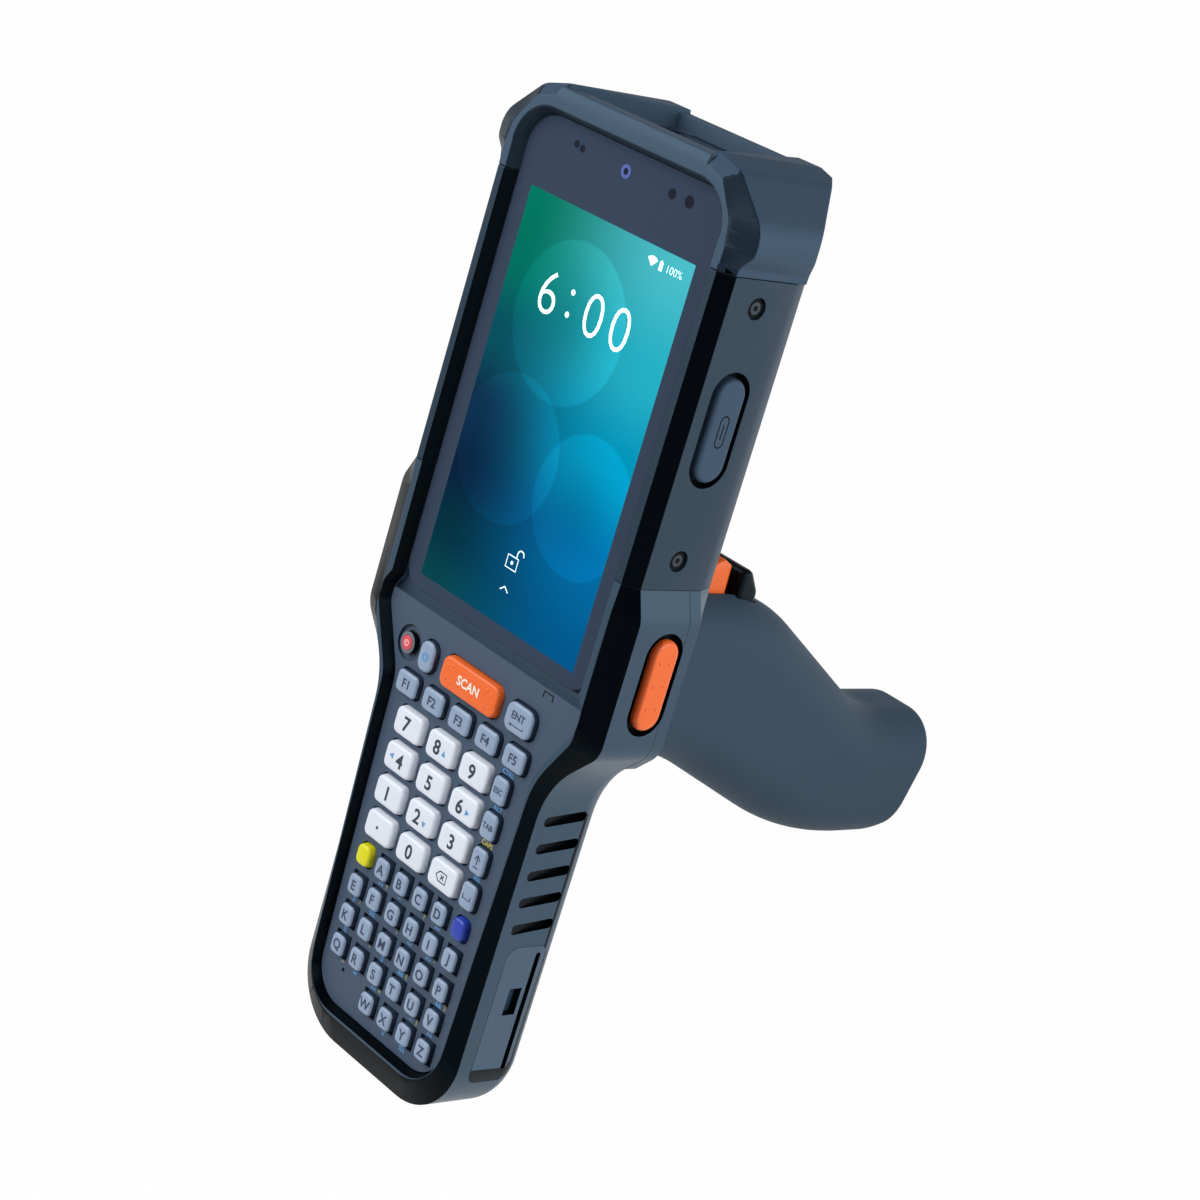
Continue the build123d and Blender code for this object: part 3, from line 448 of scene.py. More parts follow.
def written(
    text: str, centre: Point, height: float, level: float = 0.0, offset: float = 0.03
) -> Object:
    """Raise text as a thin mesh.

    Args:
        text: What is written.
        centre: Its middle in x and y.
        height: Height of a capital.
        level: Height of its underside.
        offset: How much bolder the strokes are drawn, as a share of the height.

    Returns:
        The mesh object.
    """
    bpy.ops.object.text_add(location=(0, 0, 0))
    curve = bpy.context.object.data
    curve.body = text
    curve.align_x = "CENTER"
    curve.align_y = "CENTER"
    curve.size = height / 0.73          # a capital of this font is 0.73 of its size
    curve.resolution_u = 4
    curve.offset = offset * height
    curve.extrude = PRINT_DEPTH
    activate(bpy.context.object)
    bpy.ops.object.convert(target="MESH")
    obj = bpy.context.object
    across, upwards = ([v.co[i] for v in obj.data.vertices] for i in (0, 1))
    obj.data.transform(Matrix.Translation((
        centre[0] - (min(across) + max(across)) / 2,
        centre[1] - (min(upwards) + max(upwards)) / 2,
        level + PRINT_DEPTH,
    )))
    return obj


def domes(places: Iterable[Triple], radius: float, height: float) -> Object:
    """Model small raised dots for the finger.

    Args:
        places: The middle of each dot's foot.
        radius: Radius of a dot.
        height: Height of a dot.

    Returns:
        All dots as one mesh object.
    """
    bpy.ops.object.select_all(action="DESELECT")
    bpy.ops.mesh.primitive_uv_sphere_add(segments=12, ring_count=8, radius=radius)
    dot = bpy.context.object
    dot.data.transform(Matrix.Diagonal((1.0, 1.0, height / radius, 1.0)))
    piece = joined(copies(dot, places))
    shade(piece, 60.0)
    return piece


# ---- finishes ------------------------------------------------------------------------------


@dataclass(frozen=True)
class Wiring:
    """Adds nodes to a tree and links them."""

    tree: NodeTree

    def feed(self, node: Node, inputs: dict[str | int, Feed]) -> None:
        """Link a node's inputs or set them to constants.

        Args:
            node: The node.
            inputs: A socket or a constant for each input, by its name or number.
        """
        for key, value in inputs.items():
            if isinstance(value, NodeSocket):
                self.tree.links.new(value, node.inputs[key])
            else:
                node.inputs[key].default_value = value

    def add(
        self, kind: str, inputs: dict[str | int, Feed] | None = None, **settings: object
    ) -> NodeOutputs:
        """Add a node.

        Args:
            kind: Type of the node, without its leading ShaderNode.
            inputs: What feeds its inputs.
            settings: Its other properties.

        Returns:
            The node's outputs.
        """
        node = self.tree.nodes.new("ShaderNode" + kind)
        for key, value in settings.items():
            setattr(node, key, value)
        self.feed(node, inputs or {})
        return node.outputs

    def math(self, operation: str, *values: Feed) -> NodeSocket:
        """Result of a sum on sockets or plain numbers."""
        return self.add("Math", dict(enumerate(values)), operation=operation)["Value"]

    def scaled(self, colour: Feed, share: Feed) -> NodeSocket:
        """A colour times a number."""
        return self.add("VectorMath", {0: colour, "Scale": share}, operation="SCALE")["Vector"]

    def step(
        self, source: Feed, low: float, high: float, start: float = 0.0, end: float = 1.0
    ) -> NodeSocket:
        """Map a value smoothly, and hold it beyond the ends.

        Args:
            source: The value.
            low: Where the result is start.
            high: Where the result is end.
            start: First result.
            end: Last result.

        Returns:
            The result.
        """
        ends = {"From Min": low, "From Max": high, "To Min": start, "To Max": end}
        settings = {"interpolation_type": "SMOOTHSTEP"}
        return self.add("MapRange", {"Value": source, **ends}, **settings)["Result"]

    def blend(self, share: Feed, first: Feed, second: Feed) -> NodeSocket:
        """A mix of two values."""
        return self.add("Mix", {"Factor": share, "A": first, "B": second})["Result"]

    def colours(self, share: Feed, first: Feed, second: Feed) -> NodeSocket:
        """A mix of two colours, whose sockets share their names with other types'."""
        return self.add("Mix", {"Factor": share, 6: first, 7: second}, data_type="RGBA")[2]


def new_material(name: str) -> tuple[Material, Wiring, Node]:
    """Start a material.

    Args:
        name: Name of the material.

    Returns:
        The material, its wiring and its main shader.
    """
    material = bpy.data.materials.new(name)
    material.use_nodes = True
    tree = material.node_tree
    return material, Wiring(tree), tree.nodes["Principled BSDF"]


@dataclass(frozen=True)
class Effects:
    """Shader node groups that several materials share."""

    grain: NodeTree
    mottle: NodeTree

    @classmethod
    def made(cls) -> "Effects":
        """Make both groups."""
        return cls(cls._grain(), cls._mottle())

    @staticmethod
    def _group(
        name: str, inputs: dict[str, float], outputs: Iterable[str]
    ) -> tuple[Wiring, NodeOutputs, Node]:
        """Start a node group with a vector input, and float inputs and outputs.

        Args:
            name: Name of the group.
            inputs: Its float inputs, each with its usual value.
            outputs: Its float outputs.

        Returns:
            The group's wiring, the sockets that enter it and the node that leaves it.
        """
        group = bpy.data.node_groups.new(name, "ShaderNodeTree")
        group.interface.new_socket("Vector", in_out="INPUT", socket_type="NodeSocketVector")
        value = {"socket_type": "NodeSocketFloat"}
        for label, usual in inputs.items():
            group.interface.new_socket(label, in_out="INPUT", **value).default_value = usual
        for label in outputs:
            group.interface.new_socket(label, in_out="OUTPUT", **value)
        entry = group.nodes.new("NodeGroupInput").outputs
        return Wiring(group), entry, group.nodes.new("NodeGroupOutput")

    @classmethod
    def _grain(cls) -> NodeTree:
        """Fine leather-like grain of moulded plastic.

        Returns:
            A group whose height feeds a bump.
        """
        wires, entry, leave = cls._group("moulded_grain", {"Scale": 4000.0}, ["Height"])
        place = {name: entry[name] for name in ("Vector", "Scale")}
        cells = wires.add("TexVoronoi", place, feature="SMOOTH_F1")
        fine = wires.add("TexNoise", {**place, "Detail": 2.0})
        wires.feed(leave, {"Height": wires.blend(0.5, cells["Distance"], fine["Fac"])})
        return wires.tree

    @classmethod
    def _mottle(cls) -> NodeTree:
        """Faint large-scale unevenness.

        Returns:
            A group with a value round 1 for colour and one round 0 for gloss.
        """
        wires, entry, leave = cls._group(
            "tone_mottle", {"Scale": 90.0, "Amount": 0.05}, ["Tone", "Gloss"])
        place = {name: entry[name] for name in ("Vector", "Scale")}
        noise = wires.add("TexNoise", {**place, "Detail": 4.0})
        swing = wires.math("MULTIPLY", wires.math("SUBTRACT", noise["Fac"], 0.5), entry["Amount"])
        wires.feed(leave, {"Tone": wires.math("ADD", swing, 1.0), "Gloss": swing})
        return wires.tree


@dataclass(frozen=True)
class Finish:
    """A solid finish: moulded plastic, rubber, metal or ink."""

    name: str
    colour: str
    roughness: float = 0.45
    metallic: float = 0.0
    specular: float = 0.5
    coat: float = 0.0
    grain: float = 0.0          # depth of the grain, in metres
    grain_scale: float = 3500.0
    mottle: float = 0.06
    glow: float = 0.0
    mirror: Colour = WHITE      # colour of what it mirrors

    def build(self, effects: Effects) -> Material:
        """Make the material.

        Args:
            effects: The shared node groups.

        Returns:
            The new material.
        """
        material, wires, shader = new_material(self.name)
        place = wires.add("TexCoord")["Object"]
        amount = {"Amount": self.mottle, "Vector": place}
        mottle = wires.add("Group", amount, node_tree=effects.mottle)
        tint = wires.scaled(linear(self.colour)[:3], mottle["Tone"])
        wires.feed(shader, {
            "Base Color": tint, "Metallic": self.metallic, "Coat Weight": self.coat,
            "Roughness": wires.math("ADD", mottle["Gloss"], self.roughness),
            "Specular IOR Level": self.specular, "Specular Tint": self.mirror,
        })
        if self.glow:
            wires.feed(shader, {"Emission Color": tint, "Emission Strength": self.glow})
        if self.grain:
            scale = {"Scale": self.grain_scale, "Vector": place}
            grain = wires.add("Group", scale, node_tree=effects.grain)["Height"]
            bump = wires.add("Bump", {"Distance": self.grain, "Strength": 1.0, "Height": grain})
            wires.feed(shader, {"Normal": bump["Normal"]})
        return material


FINISHES = [
    Finish("shell_plastic", "314456", 0.40, grain=1.2e-5, mirror=COOL),
    # painted shade: near black on the rim's slopes and in the pockets and finger slots of the
    # flanks
    Finish("band_plastic", "03060a", 0.34, specular=0.08, mottle=0.03, mirror=COOL),
    Finish("rail_plastic", "1e2e3e", 0.40, grain=1.2e-5, mirror=COOL),
    Finish("bumper_rubber", "34465a", 0.60, grain=1.5e-5, mirror=COOL),
    # painted shade: a navy tone for the head bumper's slopes
    Finish("bumper_shade", "15212e", 0.44, specular=0.3, grain=1.5e-5, mirror=COOL),
    Finish("grip_plastic", "384a5b", 0.60, specular=0.2, grain=1.0e-5, mirror=COOL),
    Finish("panel_plastic", "435165", 0.50, grain=2.0e-5, grain_scale=2600.0, mirror=COOL),
    Finish("black_plastic", "06080c", 0.40, specular=0.2, grain=1.0e-5, mirror=COOL),
    Finish("key_white", "e2e8f2", 0.38, grain=0.4e-5, mottle=0.02),
    Finish("key_grey", "8fa3bd", 0.38, grain=0.4e-5, mottle=0.03),
    # painted shade on the lower sides of the grey caps
    Finish("key_skirt", "25354a", 0.45, grain=0.4e-5, mottle=0.03),
    Finish("key_orange", "f26a24", 0.42, grain=0.6e-5, mottle=0.04),
    # painted shade: darker orange for the side buttons' faces turned towards the screen side
    Finish("button_shade", "c4501a", 0.42, grain=0.6e-5, mottle=0.04),
    Finish("key_red", "e0485a", 0.35, mottle=0.03),
    Finish("key_ring", "6a7078", 0.35, mottle=0.03),
    Finish("key_yellow", "e0dc00", 0.38, grain=0.4e-5, mottle=0.03),
    Finish("key_blue", "2340ae", 0.38, grain=0.4e-5, mottle=0.03),
    Finish("anchor_plastic", "43566a", 0.36, grain=1.0e-5, mirror=COOL),
    Finish("steel", "8e9196", 0.30, metallic=1.0, mottle=0.05),
    Finish("screw_steel", "3c4650", 0.38, metallic=0.7, mottle=0.05),
    Finish("board_laminate", "12402a", 0.45, mottle=0.10),
    Finish("silicone", "9a9ca0", 0.60, mottle=0.04),
    Finish("battery_case", "1c2a38", 0.45, grain=1.0e-5, mirror=COOL),
    Finish("scan_glass", "14060a", 0.08, coat=0.5, mottle=0.02),
    Finish("lens_glass", "5c6cb4", 0.15, coat=0.4, mottle=0.05),
    Finish("sensor_glass", "1b212d", 0.30, specular=0.1, mottle=0.05),
    *(Finish(ink, colour, 0.50, mottle=0.02) for ink, colour in (
        (Ink.DARK, "2c3546"), (Ink.SLATE, "33425c"), (Ink.PALE, "fff0e4"),
        (Ink.SKY, "5c9bd8"), (Ink.YELLOW, "c9b94a"),
    )),
    # black print, and painted shade in the screw gaps and the panel's notch
    Finish(Ink.BLACK, "030405", 0.50, specular=0.1, mottle=0.02),
    Finish(Ink.LIT, "e6fbff", 0.60, mottle=0.0, glow=0.9),
]


@dataclass
class ScreenFinish:
    """Bordered touch glass with a lit screen: soft colour fields with three faint discs."""

    device: Device
    half_width: float = 26.15
    half_height: float = 43.6
    border: Colour = linear("394659")
    left: tuple[tuple[float, str], ...] = (
        (0.0, "04424a"), (0.14, "02303f"), (0.30, "06203a"), (0.46, "0a2a46"),
        (0.64, "064e5c"), (0.84, "006e5e"), (1.0, "00745e"),
    )
    right: tuple[tuple[float, str], ...] = (
        (0.0, "005488"), (0.25, "00669c"), (0.50, "0090b6"), (0.72, "22aabe"), (1.0, "48b8c4"),
    )
    spread: float = 0.9             # share of the width over which left turns into right
    discs: tuple[Triple, ...] = ((-4.0, 21.0, 17.0), (-11.0, -9.0, 16.0), (15.0, -12.0, 15.0))
    disc_edge: float = 0.3          # half the softness of a disc's edge
    disc_lift: float = 0.26         # how much lighter a disc is at its edge
    glow: float = 1.08
    roughness: float = 0.12
    specular: float = 0.05

    @staticmethod
    def _ramp(
        wires: Wiring, height: Feed, stops: tuple[tuple[float, str], ...]
    ) -> NodeSocket:
        """Run a ramp of colours up the screen.

        Args:
            wires: The material's wiring.
            height: Share of the screen's height.
            stops: Places on the ramp and their colours.

        Returns:
            The colour at this height.
        """
        colour = wires.add("ValToRGB", {"Fac": height})["Color"]
        ramp = colour.node.color_ramp
        ramp.interpolation = "EASE"
        while len(ramp.elements) < len(stops):
            ramp.elements.new(0.5)
        for point, (place, code) in zip(ramp.elements, stops):
            point.position = place
            point.color = linear(code)
        return colour

    def _disc_tone(self, wires: Wiring, x: Feed, y: Feed, disc: Triple) -> NodeSocket:
        """Tone of a disc that grows lighter from its middle to its edge.

        Args:
            wires: The material's wiring.
            x: Place across the screen.
            y: Place up the screen.
            disc: Middle and radius of the disc.

        Returns:
            The tone, which is 1 outside the disc.
        """
        centre_x, centre_y, radius = disc
        across = wires.math("SUBTRACT", x, centre_x)
        up = wires.math("SUBTRACT", y, centre_y)
        squares = [wires.math("MULTIPLY", way, way) for way in (across, up)]
        away = wires.math("SQRT", wires.math("ADD", *squares))
        inside = wires.step(away, radius + self.disc_edge, radius - self.disc_edge)
        shown = wires.math("MULTIPLY", inside, wires.step(away, 0.0, radius))
        return wires.math("MULTIPLY_ADD", shown, self.disc_lift, 1.0)

    def build(self) -> Material:
        """Make the material; its picture is laid out in the terminal's own axes.

        Returns:
            The new material.
        """
        material, wires, shader = new_material("touch_glass")
        back = self.device.matrix.inverted()
        place = wires.add("Mapping", {
            "Vector": wires.add("TexCoord")["Object"], "Location": back.translation,
            "Rotation": back.to_euler(), "Scale": (1 / MM,) * 3,
        })
        split = wires.add("SeparateXYZ", {"Vector": place["Vector"]})
        x, y = split["X"], split["Y"]
        height = wires.math(
            "DIVIDE", wires.math("ADD", y, self.half_height), 2 * self.half_height)
        reach = self.half_width * self.spread
        sides = [self._ramp(wires, height, stops) for stops in (self.left, self.right)]
        picture = wires.colours(wires.step(x, -reach, reach), *sides)
        for disc in self.discs:
            picture = wires.scaled(picture, self._disc_tone(wires, x, y, disc))
        lit = wires.math("MULTIPLY", *(
            wires.math("LESS_THAN", wires.math("ABSOLUTE", way), half)
            for way, half in ((x, self.half_width), (y, self.half_height))
        ))
        wires.feed(shader, {
            "Base Color": wires.colours(lit, self.border, BLACK),
            "Emission Color": wires.colours(lit, BLACK, picture),
            "Emission Strength": self.glow,
            "Roughness": self.roughness, "Specular IOR Level": self.specular,
        })
        return material


def all_finishes(device: Device) -> dict[str, Material]:
    """Make every material.

    Args:
        device: The terminal's axes, in which the screen's picture is laid out.

    Returns:
        The materials, by name.
    """
    effects = Effects.made()
    palette = {finish.name: finish.build(effects) for finish in FINISHES}
    palette["touch_glass"] = ScreenFinish(device).build()
    return palette


# ---- what the sub-assemblies share ---------------------------------------------------------


@dataclass(frozen=True)
class Skin:
    """How a CAD node is dressed in a finer copy of itself."""

    node: str
    finish: str
    second: str = ""            # finish of the faces that a test picks
    edge: float = 0.28          # width of the rounding of its sharp edges; 0 for none
    body: str = ROOT
    segments: int = 2
    clamp: bool = True          # whether a rounding stops where it would meet another
    smooth: float = 35.0        # edges that turn by more, in degrees, are shaded sharp
    sharp: float = 30.0         # edges that turn by more, in degrees, are rounded


@dataclass
class SubAssembly:
    """What each sub-assembly works with, and how it hands over its pieces."""

    device: Device
    palette: dict[str, Material]

    def hand_over(
        self, obj: Object, name: str, finish: str, body: str = ROOT, *nodes: str
    ) -> None:
        """Name, paint and settle a piece.

        Args:
            obj: The piece, in the terminal's axes.
            name: Its name.
            finish: Its finish.
            body: The body it rides on.
            nodes: CAD nodes that it stands for.
        """
        obj.name = name
        paint(obj, self.palette[finish])
        self.device.settle(obj, body, *nodes)

    def dress(self, skin: Skin, in_second: FaceTest | None = None, name: str = "") -> None:
        """Dress a CAD node in a copy with rounded edges.

        Args:
            skin: How it is dressed.
            in_second: Says of a face whether it has the second finish.
            name: The piece's name, where it isn't the node's with _skin.
        """
        obj = self.device.copy_of(skin.node)
        if skin.edge:
            modify(
                obj, "BEVEL", width=skin.edge, segments=skin.segments, limit_method="ANGLE",
                angle_limit=math.radians(skin.sharp), use_clamp_overlap=skin.clamp,
                miter_outer="MITER_ARC",
            )
        paint(obj, *(self.palette[finish] for finish in (skin.finish, skin.second) if finish))
        if in_second:
            for face in obj.data.polygons:
                face.material_index = int(in_second(face))
        shade(obj, skin.smooth, weigh=skin.edge > 0)
        obj.name = name or obj.name
        self.device.settle(obj, skin.body, skin.node)


# ---- casing --------------------------------------------------------------------------------


@dataclass
class Casing(SubAssembly):
    """Housings, head bumper, side rails, strap anchors, battery, and black painted shade round
    the rail screws.
    """

    pocket_margin: float = 1.7
    wall_skin: float = 0.12         # what counts as the flank's surface rather than a pocket
    rail_flank: float = 37.5
    wide_flank: float = 40.3
    anchor_depth: float = 0.35      # how deep the inlay's own finish reaches; faces sunk deeper take black painted shade
    upright: float = 0.995          # normals beyond this belong to the flank, not to a slot
    sloping: Point = (0.2, 0.97)    # how far the normals of the rim's slopes point out, which take painted shade
    slope_level: float = -0.15      # where the rim's slopes begin
    sideways: float = 0.3           # normals within this point headwards, not sideways
    slots: tuple[Box, ...] = (
        Box(Vector((25.5, -104.5, -14.5)), Vector((28.25, -73.5, -2.0))),
        Box(Vector((-28.25, -104.5, -14.5)), Vector((-25.5, -73.5, -2.0))),
    )
    socket: float = 0.36            # radius of a rail screw's socket, as a share of its head's
    screw_rim: float = 0.72         # radius inside the gap round its head, likewise
    # each shell's second finish is painted shade on its slopes, pockets and slots
    shells: tuple[Skin, ...] = (
        Skin("front_housing", "shell_plastic", "band_plastic"),
        Skin("rear_housing", "shell_plastic", "band_plastic"),
        # the head bumper's slopes take its own painted shade
        Skin("head_bumper", "bumper_rubber", "bumper_shade", clamp=False),
        Skin("side_rail_right", "rail_plastic", "band_plastic"),
        Skin("side_rail_left", "rail_plastic", "band_plastic"),
    )

    def build(self) -> None:
        """Build the shells with near-black painted shade on the rim's slopes, in the pockets and
        in the finger slots, then the anchors and the battery.
        """
        pockets = [
            self._pocket("usb_cover", self.rail_flank),
            self._pocket("side_button_right", self.wide_flank),
            self._pocket("side_button_left", self.wide_flank),
        ]
        # faces on the rim's slopes and in pockets and slots take painted shade
        for shell in self.shells:
            self.dress(shell, lambda face: self._on_slope(face) or self._sunk(face, pockets))
        # faces sunk into each anchor's hole and groove take black painted shade
        for node in ("strap_anchor_right", "strap_anchor_left"):
            box = self.device.box(node)
            surface = max(abs(box.low.x), abs(box.high.x)) - self.anchor_depth
            self.dress(Skin(node, "anchor_plastic", "black_plastic", edge=0.0),
                       lambda face: abs(face.center.x) < surface)
        self._screw_marks()
        self.dress(Skin("battery_pack", "battery_case", edge=0.14))

    def _on_slope(self, face: MeshPolygon) -> bool:
        """Find the slopes on both sides of the rim's top strip, which take near-black painted
        shade.

        The outward slope over the head keeps the shell's own finish.

        Args:
            face: A face of a shell.

        Returns:
            Whether it belongs to them.
        """
        low, high = self.sloping
        slopes = low < face.normal.z < high and face.center.z > self.slope_level
        faces_head = abs(face.normal.x) < self.sideways and face.normal.y > 0
        return slopes and not (faces_head and face.center.y > 0)

    def _sunk(self, face: MeshPolygon, pockets: list[Box]) -> bool:
        """Whether a face lies in a pocket or in a finger slot of a flank, where painted shade
        goes.
        """
        holes = pockets if abs(face.normal.x) > self.upright else (*pockets, *self.slots)
        return any(hole.holds(face.center) for hole in holes)

    def _pocket(self, node: str, flank: float) -> Box:
        """The space sunk into a flank round a button or cover.

        Args:
            node: What sits in the pocket.
            flank: Half width of the flank that it is sunk into.

        Returns:
            The space.
        """
        box = self.device.box(node)
        margin = Vector((self.pocket_margin,) * 3)
        low, high = box.low - margin, box.high + margin
        if box.high.x > 0:
            high.x = flank - self.wall_skin
        else:
            low.x = self.wall_skin - flank
        return Box(low, high)

    def _screw_marks(self) -> None:
        """Lay black painted shade in the gap round each rail screw and in the socket in its head.
        """
        size = self.device.box("rail_screws").size
        head = size.z / 2
        shapes = []
        for y in (head - size.y / 2, size.y / 2 - head):
            shapes += [arc(0.0, y, head), arc(0.0, y, head * self.screw_rim)]
            shapes.append(polygon(0.0, y, head * self.socket, range(0, 360, 60)))
        # black sheets of painted shade in each screw's gap and socket
        for side, name in ((1, "right"), (-1, "left")):
            gap_shade = drawn(shapes)
            self.device.to_flank(gap_shade, "rail_screws", side)
            self.hand_over(gap_shade, "rail_screw_marks_" + name, Ink.BLACK)


# ---- display -------------------------------------------------------------------------------


@dataclass
class Display(SubAssembly):
    """Touch glass, windows of camera and sensors, and the signs on the lit screen."""

    lift: float = 0.03              # height of the signs over the glass
    thin: float = -0.02             # strokes of the signs are drawn this much lighter
    clock: tuple[tuple[str, float], ...] = (("6", -12.0), (":", -5.0), ("0", 2.6), ("0", 11.0))
    clock_level: float = 24.9
    digit_height: float = 10.0
    status_level: float = 40.4
    charge_place: float = 21.2
    charge_height: float = 1.7
    stroke: float = 0.27
    lens: Point = (-0.2, 54.5)
    lens_radius: float = 1.45
    pupil_radius: float = 0.7
    sensors: tuple[Triple, ...] = (
        (-16.3, 55.3, 0.8), (-14.3, 54.9, 0.8), (14.2, 54.4, 1.1), (19.4, 54.4, 1.3),
    )

    def build(self) -> None:
        """Build the glass, the windows in its border and the signs."""
        self.dress(Skin("display_glass", "touch_glass", edge=0.15, clamp=False),
                   name="touch_glass_sheet")
        self._windows()
        charge = ("100%", (self.charge_place, self.status_level), self.charge_height)
        texts = [(sign, (x, self.clock_level), self.digit_height) for sign, x in self.clock]
        signs = [written(*text, self.lift, self.thin) for text in (*texts, charge)]
        self.hand_over(joined(signs + self._icons()), "screen_signs", Ink.LIT)

    def _windows(self) -> None:
        """Lay the round windows of camera and sensors on the glass's border."""
        window = drawn([arc(*self.lens, self.lens_radius)], self.lift / 2)
        self.hand_over(window, "camera_window", "lens_glass")
        pupil = drawn([arc(*self.lens, self.pupil_radius)], self.lift)
        windows = [drawn([arc(*sensor)], self.lift / 2) for sensor in self.sensors]
        self.hand_over(joined([pupil, *windows]), "sensor_windows", "sensor_glass")

    def _icons(self) -> list[Object]:
        """Draw the radio fan, the battery, the open padlock and the upward mark.

        Returns:
            The drawings.
        """
        foot = self.status_level - 0.9
        cell = ((-0.5, -1.0), (0.5, -1.0), (0.5, 0.8), (0.2, 0.8),
                (0.2, 1.1), (-0.2, 1.1), (-0.2, 0.8), (-0.5, 0.8))
        battery = [(17.0 + x, self.status_level + y) for x, y in cell]
        fan = [(14.3, foot), *arc(14.3, foot, 2.1, 45, 135)]
        case = [(-1.7, -31.6), (1.7, -31.6), (1.7, -28.9), (-1.7, -28.9)]
        shackle = [*arc(2.0, -27.9, 1.0, 0, 180), (1.0, -28.9)]
        chevron = [(-1.3, -36.6), (0.0, -35.6), (1.3, -36.6)]
        return [
            drawn([fan, battery], self.lift),
            drawn([case], self.lift, self.stroke),
            drawn([arc(0.0, -30.25, 0.4)], self.lift),
            drawn([shackle, chevron], self.lift, self.stroke, closed=False),
        ]


# ---- keypad --------------------------------------------------------------------------------


@dataclass
class Cap:
    """A moulded key cap: drafted sides, rounded shoulders and a faintly crowned top."""

    size: Vector
    corner: float = 1.3
    shoulder: float = 0.55
    draft: float = 0.25
    rim: float = 0.6            # width of the top's rim, as a share of the corner left to it

    def build(self) -> Object:
        """Model the cap about the origin, its foot at z = 0.

        Returns:
            The cap.
        """
        width, height, depth = self.size
        bpy.ops.object.select_all(action="DESELECT")
        bpy.ops.mesh.primitive_cube_add(size=1.0, location=(0.0, 0.0, depth / 2))
        cap = bpy.context.object
        cap.scale = self.size
        bpy.ops.object.transform_apply(location=True, scale=True)
        ends = cap.data.vertices
        shape(
            cap, Pick.EDGES,
            lambda edge: (ends[edge.vertices[0]].co - ends[edge.vertices[1]].co).xy.length < SAME,
            bevel(self.corner, 5),
        )
        shrink = (1 - 2 * self.draft / width, 1 - 2 * self.draft / height, 1.0)
        top = depth - SAME
        shape(
            cap, Pick.FACES, lambda face: face.center.z > top,
            lambda: bpy.ops.transform.resize(value=shrink),
            bevel(self.shoulder, 4),
        )
        shape(
            cap, Pick.FACES, lambda face: face.normal.z > LEVEL and face.center.z > top,
            inset((self.corner - self.shoulder) * self.rim),
            raised(CROWN),
        )
        shade(cap, 50.0)
        return cap


@dataclass(frozen=True)
class KeyLook:
    """How one key is finished and marked."""

    finish: str
    legend: str = ""
    size: float = 2.2
    ink: Ink = Ink.SLATE
    corner: float = 1.3
    shoulder: float = 0.55
    shift: float = 0.0          # how far the legend stands beside the cap's middle


@dataclass
class PowerKey(SubAssembly):
    """Power key: a black barrel, a grey ring and a red cap in it, with its sign."""

    edge: float = 0.15          # bevel of the barrel's edge
    ring: float = 0.5           # width of the ring
    gap: float = 0.12           # width of the gap between ring and cap
    sink: float = 0.25          # depth of that gap
    rise: float = 0.3           # height of the cap over the gap's floor
    rim: float = 0.3            # width of the cap's sloping rim
    crown: float = 0.1          # height of that rim
    barrel_skin: float = 0.02   # what counts as the barrel's wall rather than the ring
    cap_inset: float = 0.8      # faces this far inside the barrel's wall belong to the cap
    top_depths: Point = (0.2, 0.22)     # how deep the faces of ring and cap may lie
    sign_radius: float = 0.62
    sign_bar: float = 0.8
    sign_lift: float = 0.16
    sign_stroke: float = 0.2

    def build(self) -> None:
        """Build the key, paint its three parts and print its sign."""
        box = self.device.box("power_key")
        radius, (x, y, _), top = box.size.x / 2, box.middle, box.high.z
        bpy.ops.object.select_all(action="DESELECT")
        bpy.ops.mesh.primitive_cylinder_add(
            vertices=48, radius=radius, depth=box.size.z, location=box.middle)
        key = bpy.context.object
        bpy.ops.object.transform_apply(location=True)
        shape(key, Pick.FACES, lambda face: face.normal.z > 0.9, bevel(self.edge, 2))
        shape(
            key, Pick.FACES, lambda face: face.normal.z > LEVEL,
            inset(self.ring), extrude(-self.sink), inset(self.gap), extrude(self.rise),
            inset(self.rim), raised(self.crown),
        )
        paint(key, *(self.palette[name] for name in ("black_plastic", "key_ring", "key_red")))
        ring_depth, cap_depth = self.top_depths
        for face in key.data.polygons:
            away = math.hypot(face.center.x - x, face.center.y - y)
            depth = top - face.center.z
            if away < radius - self.cap_inset and depth < cap_depth:
                face.material_index = 2
            elif away < radius - self.barrel_skin and depth < ring_depth:
                face.material_index = 1
        key.name = "power_key_cap"
        shade(key, 40.0)
        self.device.settle(key, "power_key", "power_key")
        ring = arc(x, y, self.sign_radius, 120, 420)
        bar = [(x, y), (x, y + self.sign_bar)]
        sign = drawn([ring, bar], top + self.sign_lift, self.sign_stroke, closed=False)
        self.hand_over(sign, "power_key_sign", Ink.PALE, "power_key")


def digit(legend: str, shift: float = -0.3) -> KeyLook:
    """Look of a large white key."""
    return KeyLook("key_white", legend, 3.3, Ink.DARK, 1.6, 0.6, shift)


def small(legend: str, size: float = 2.1) -> KeyLook:
    """Look of a small grey key."""
    return KeyLook("key_grey", legend, size)


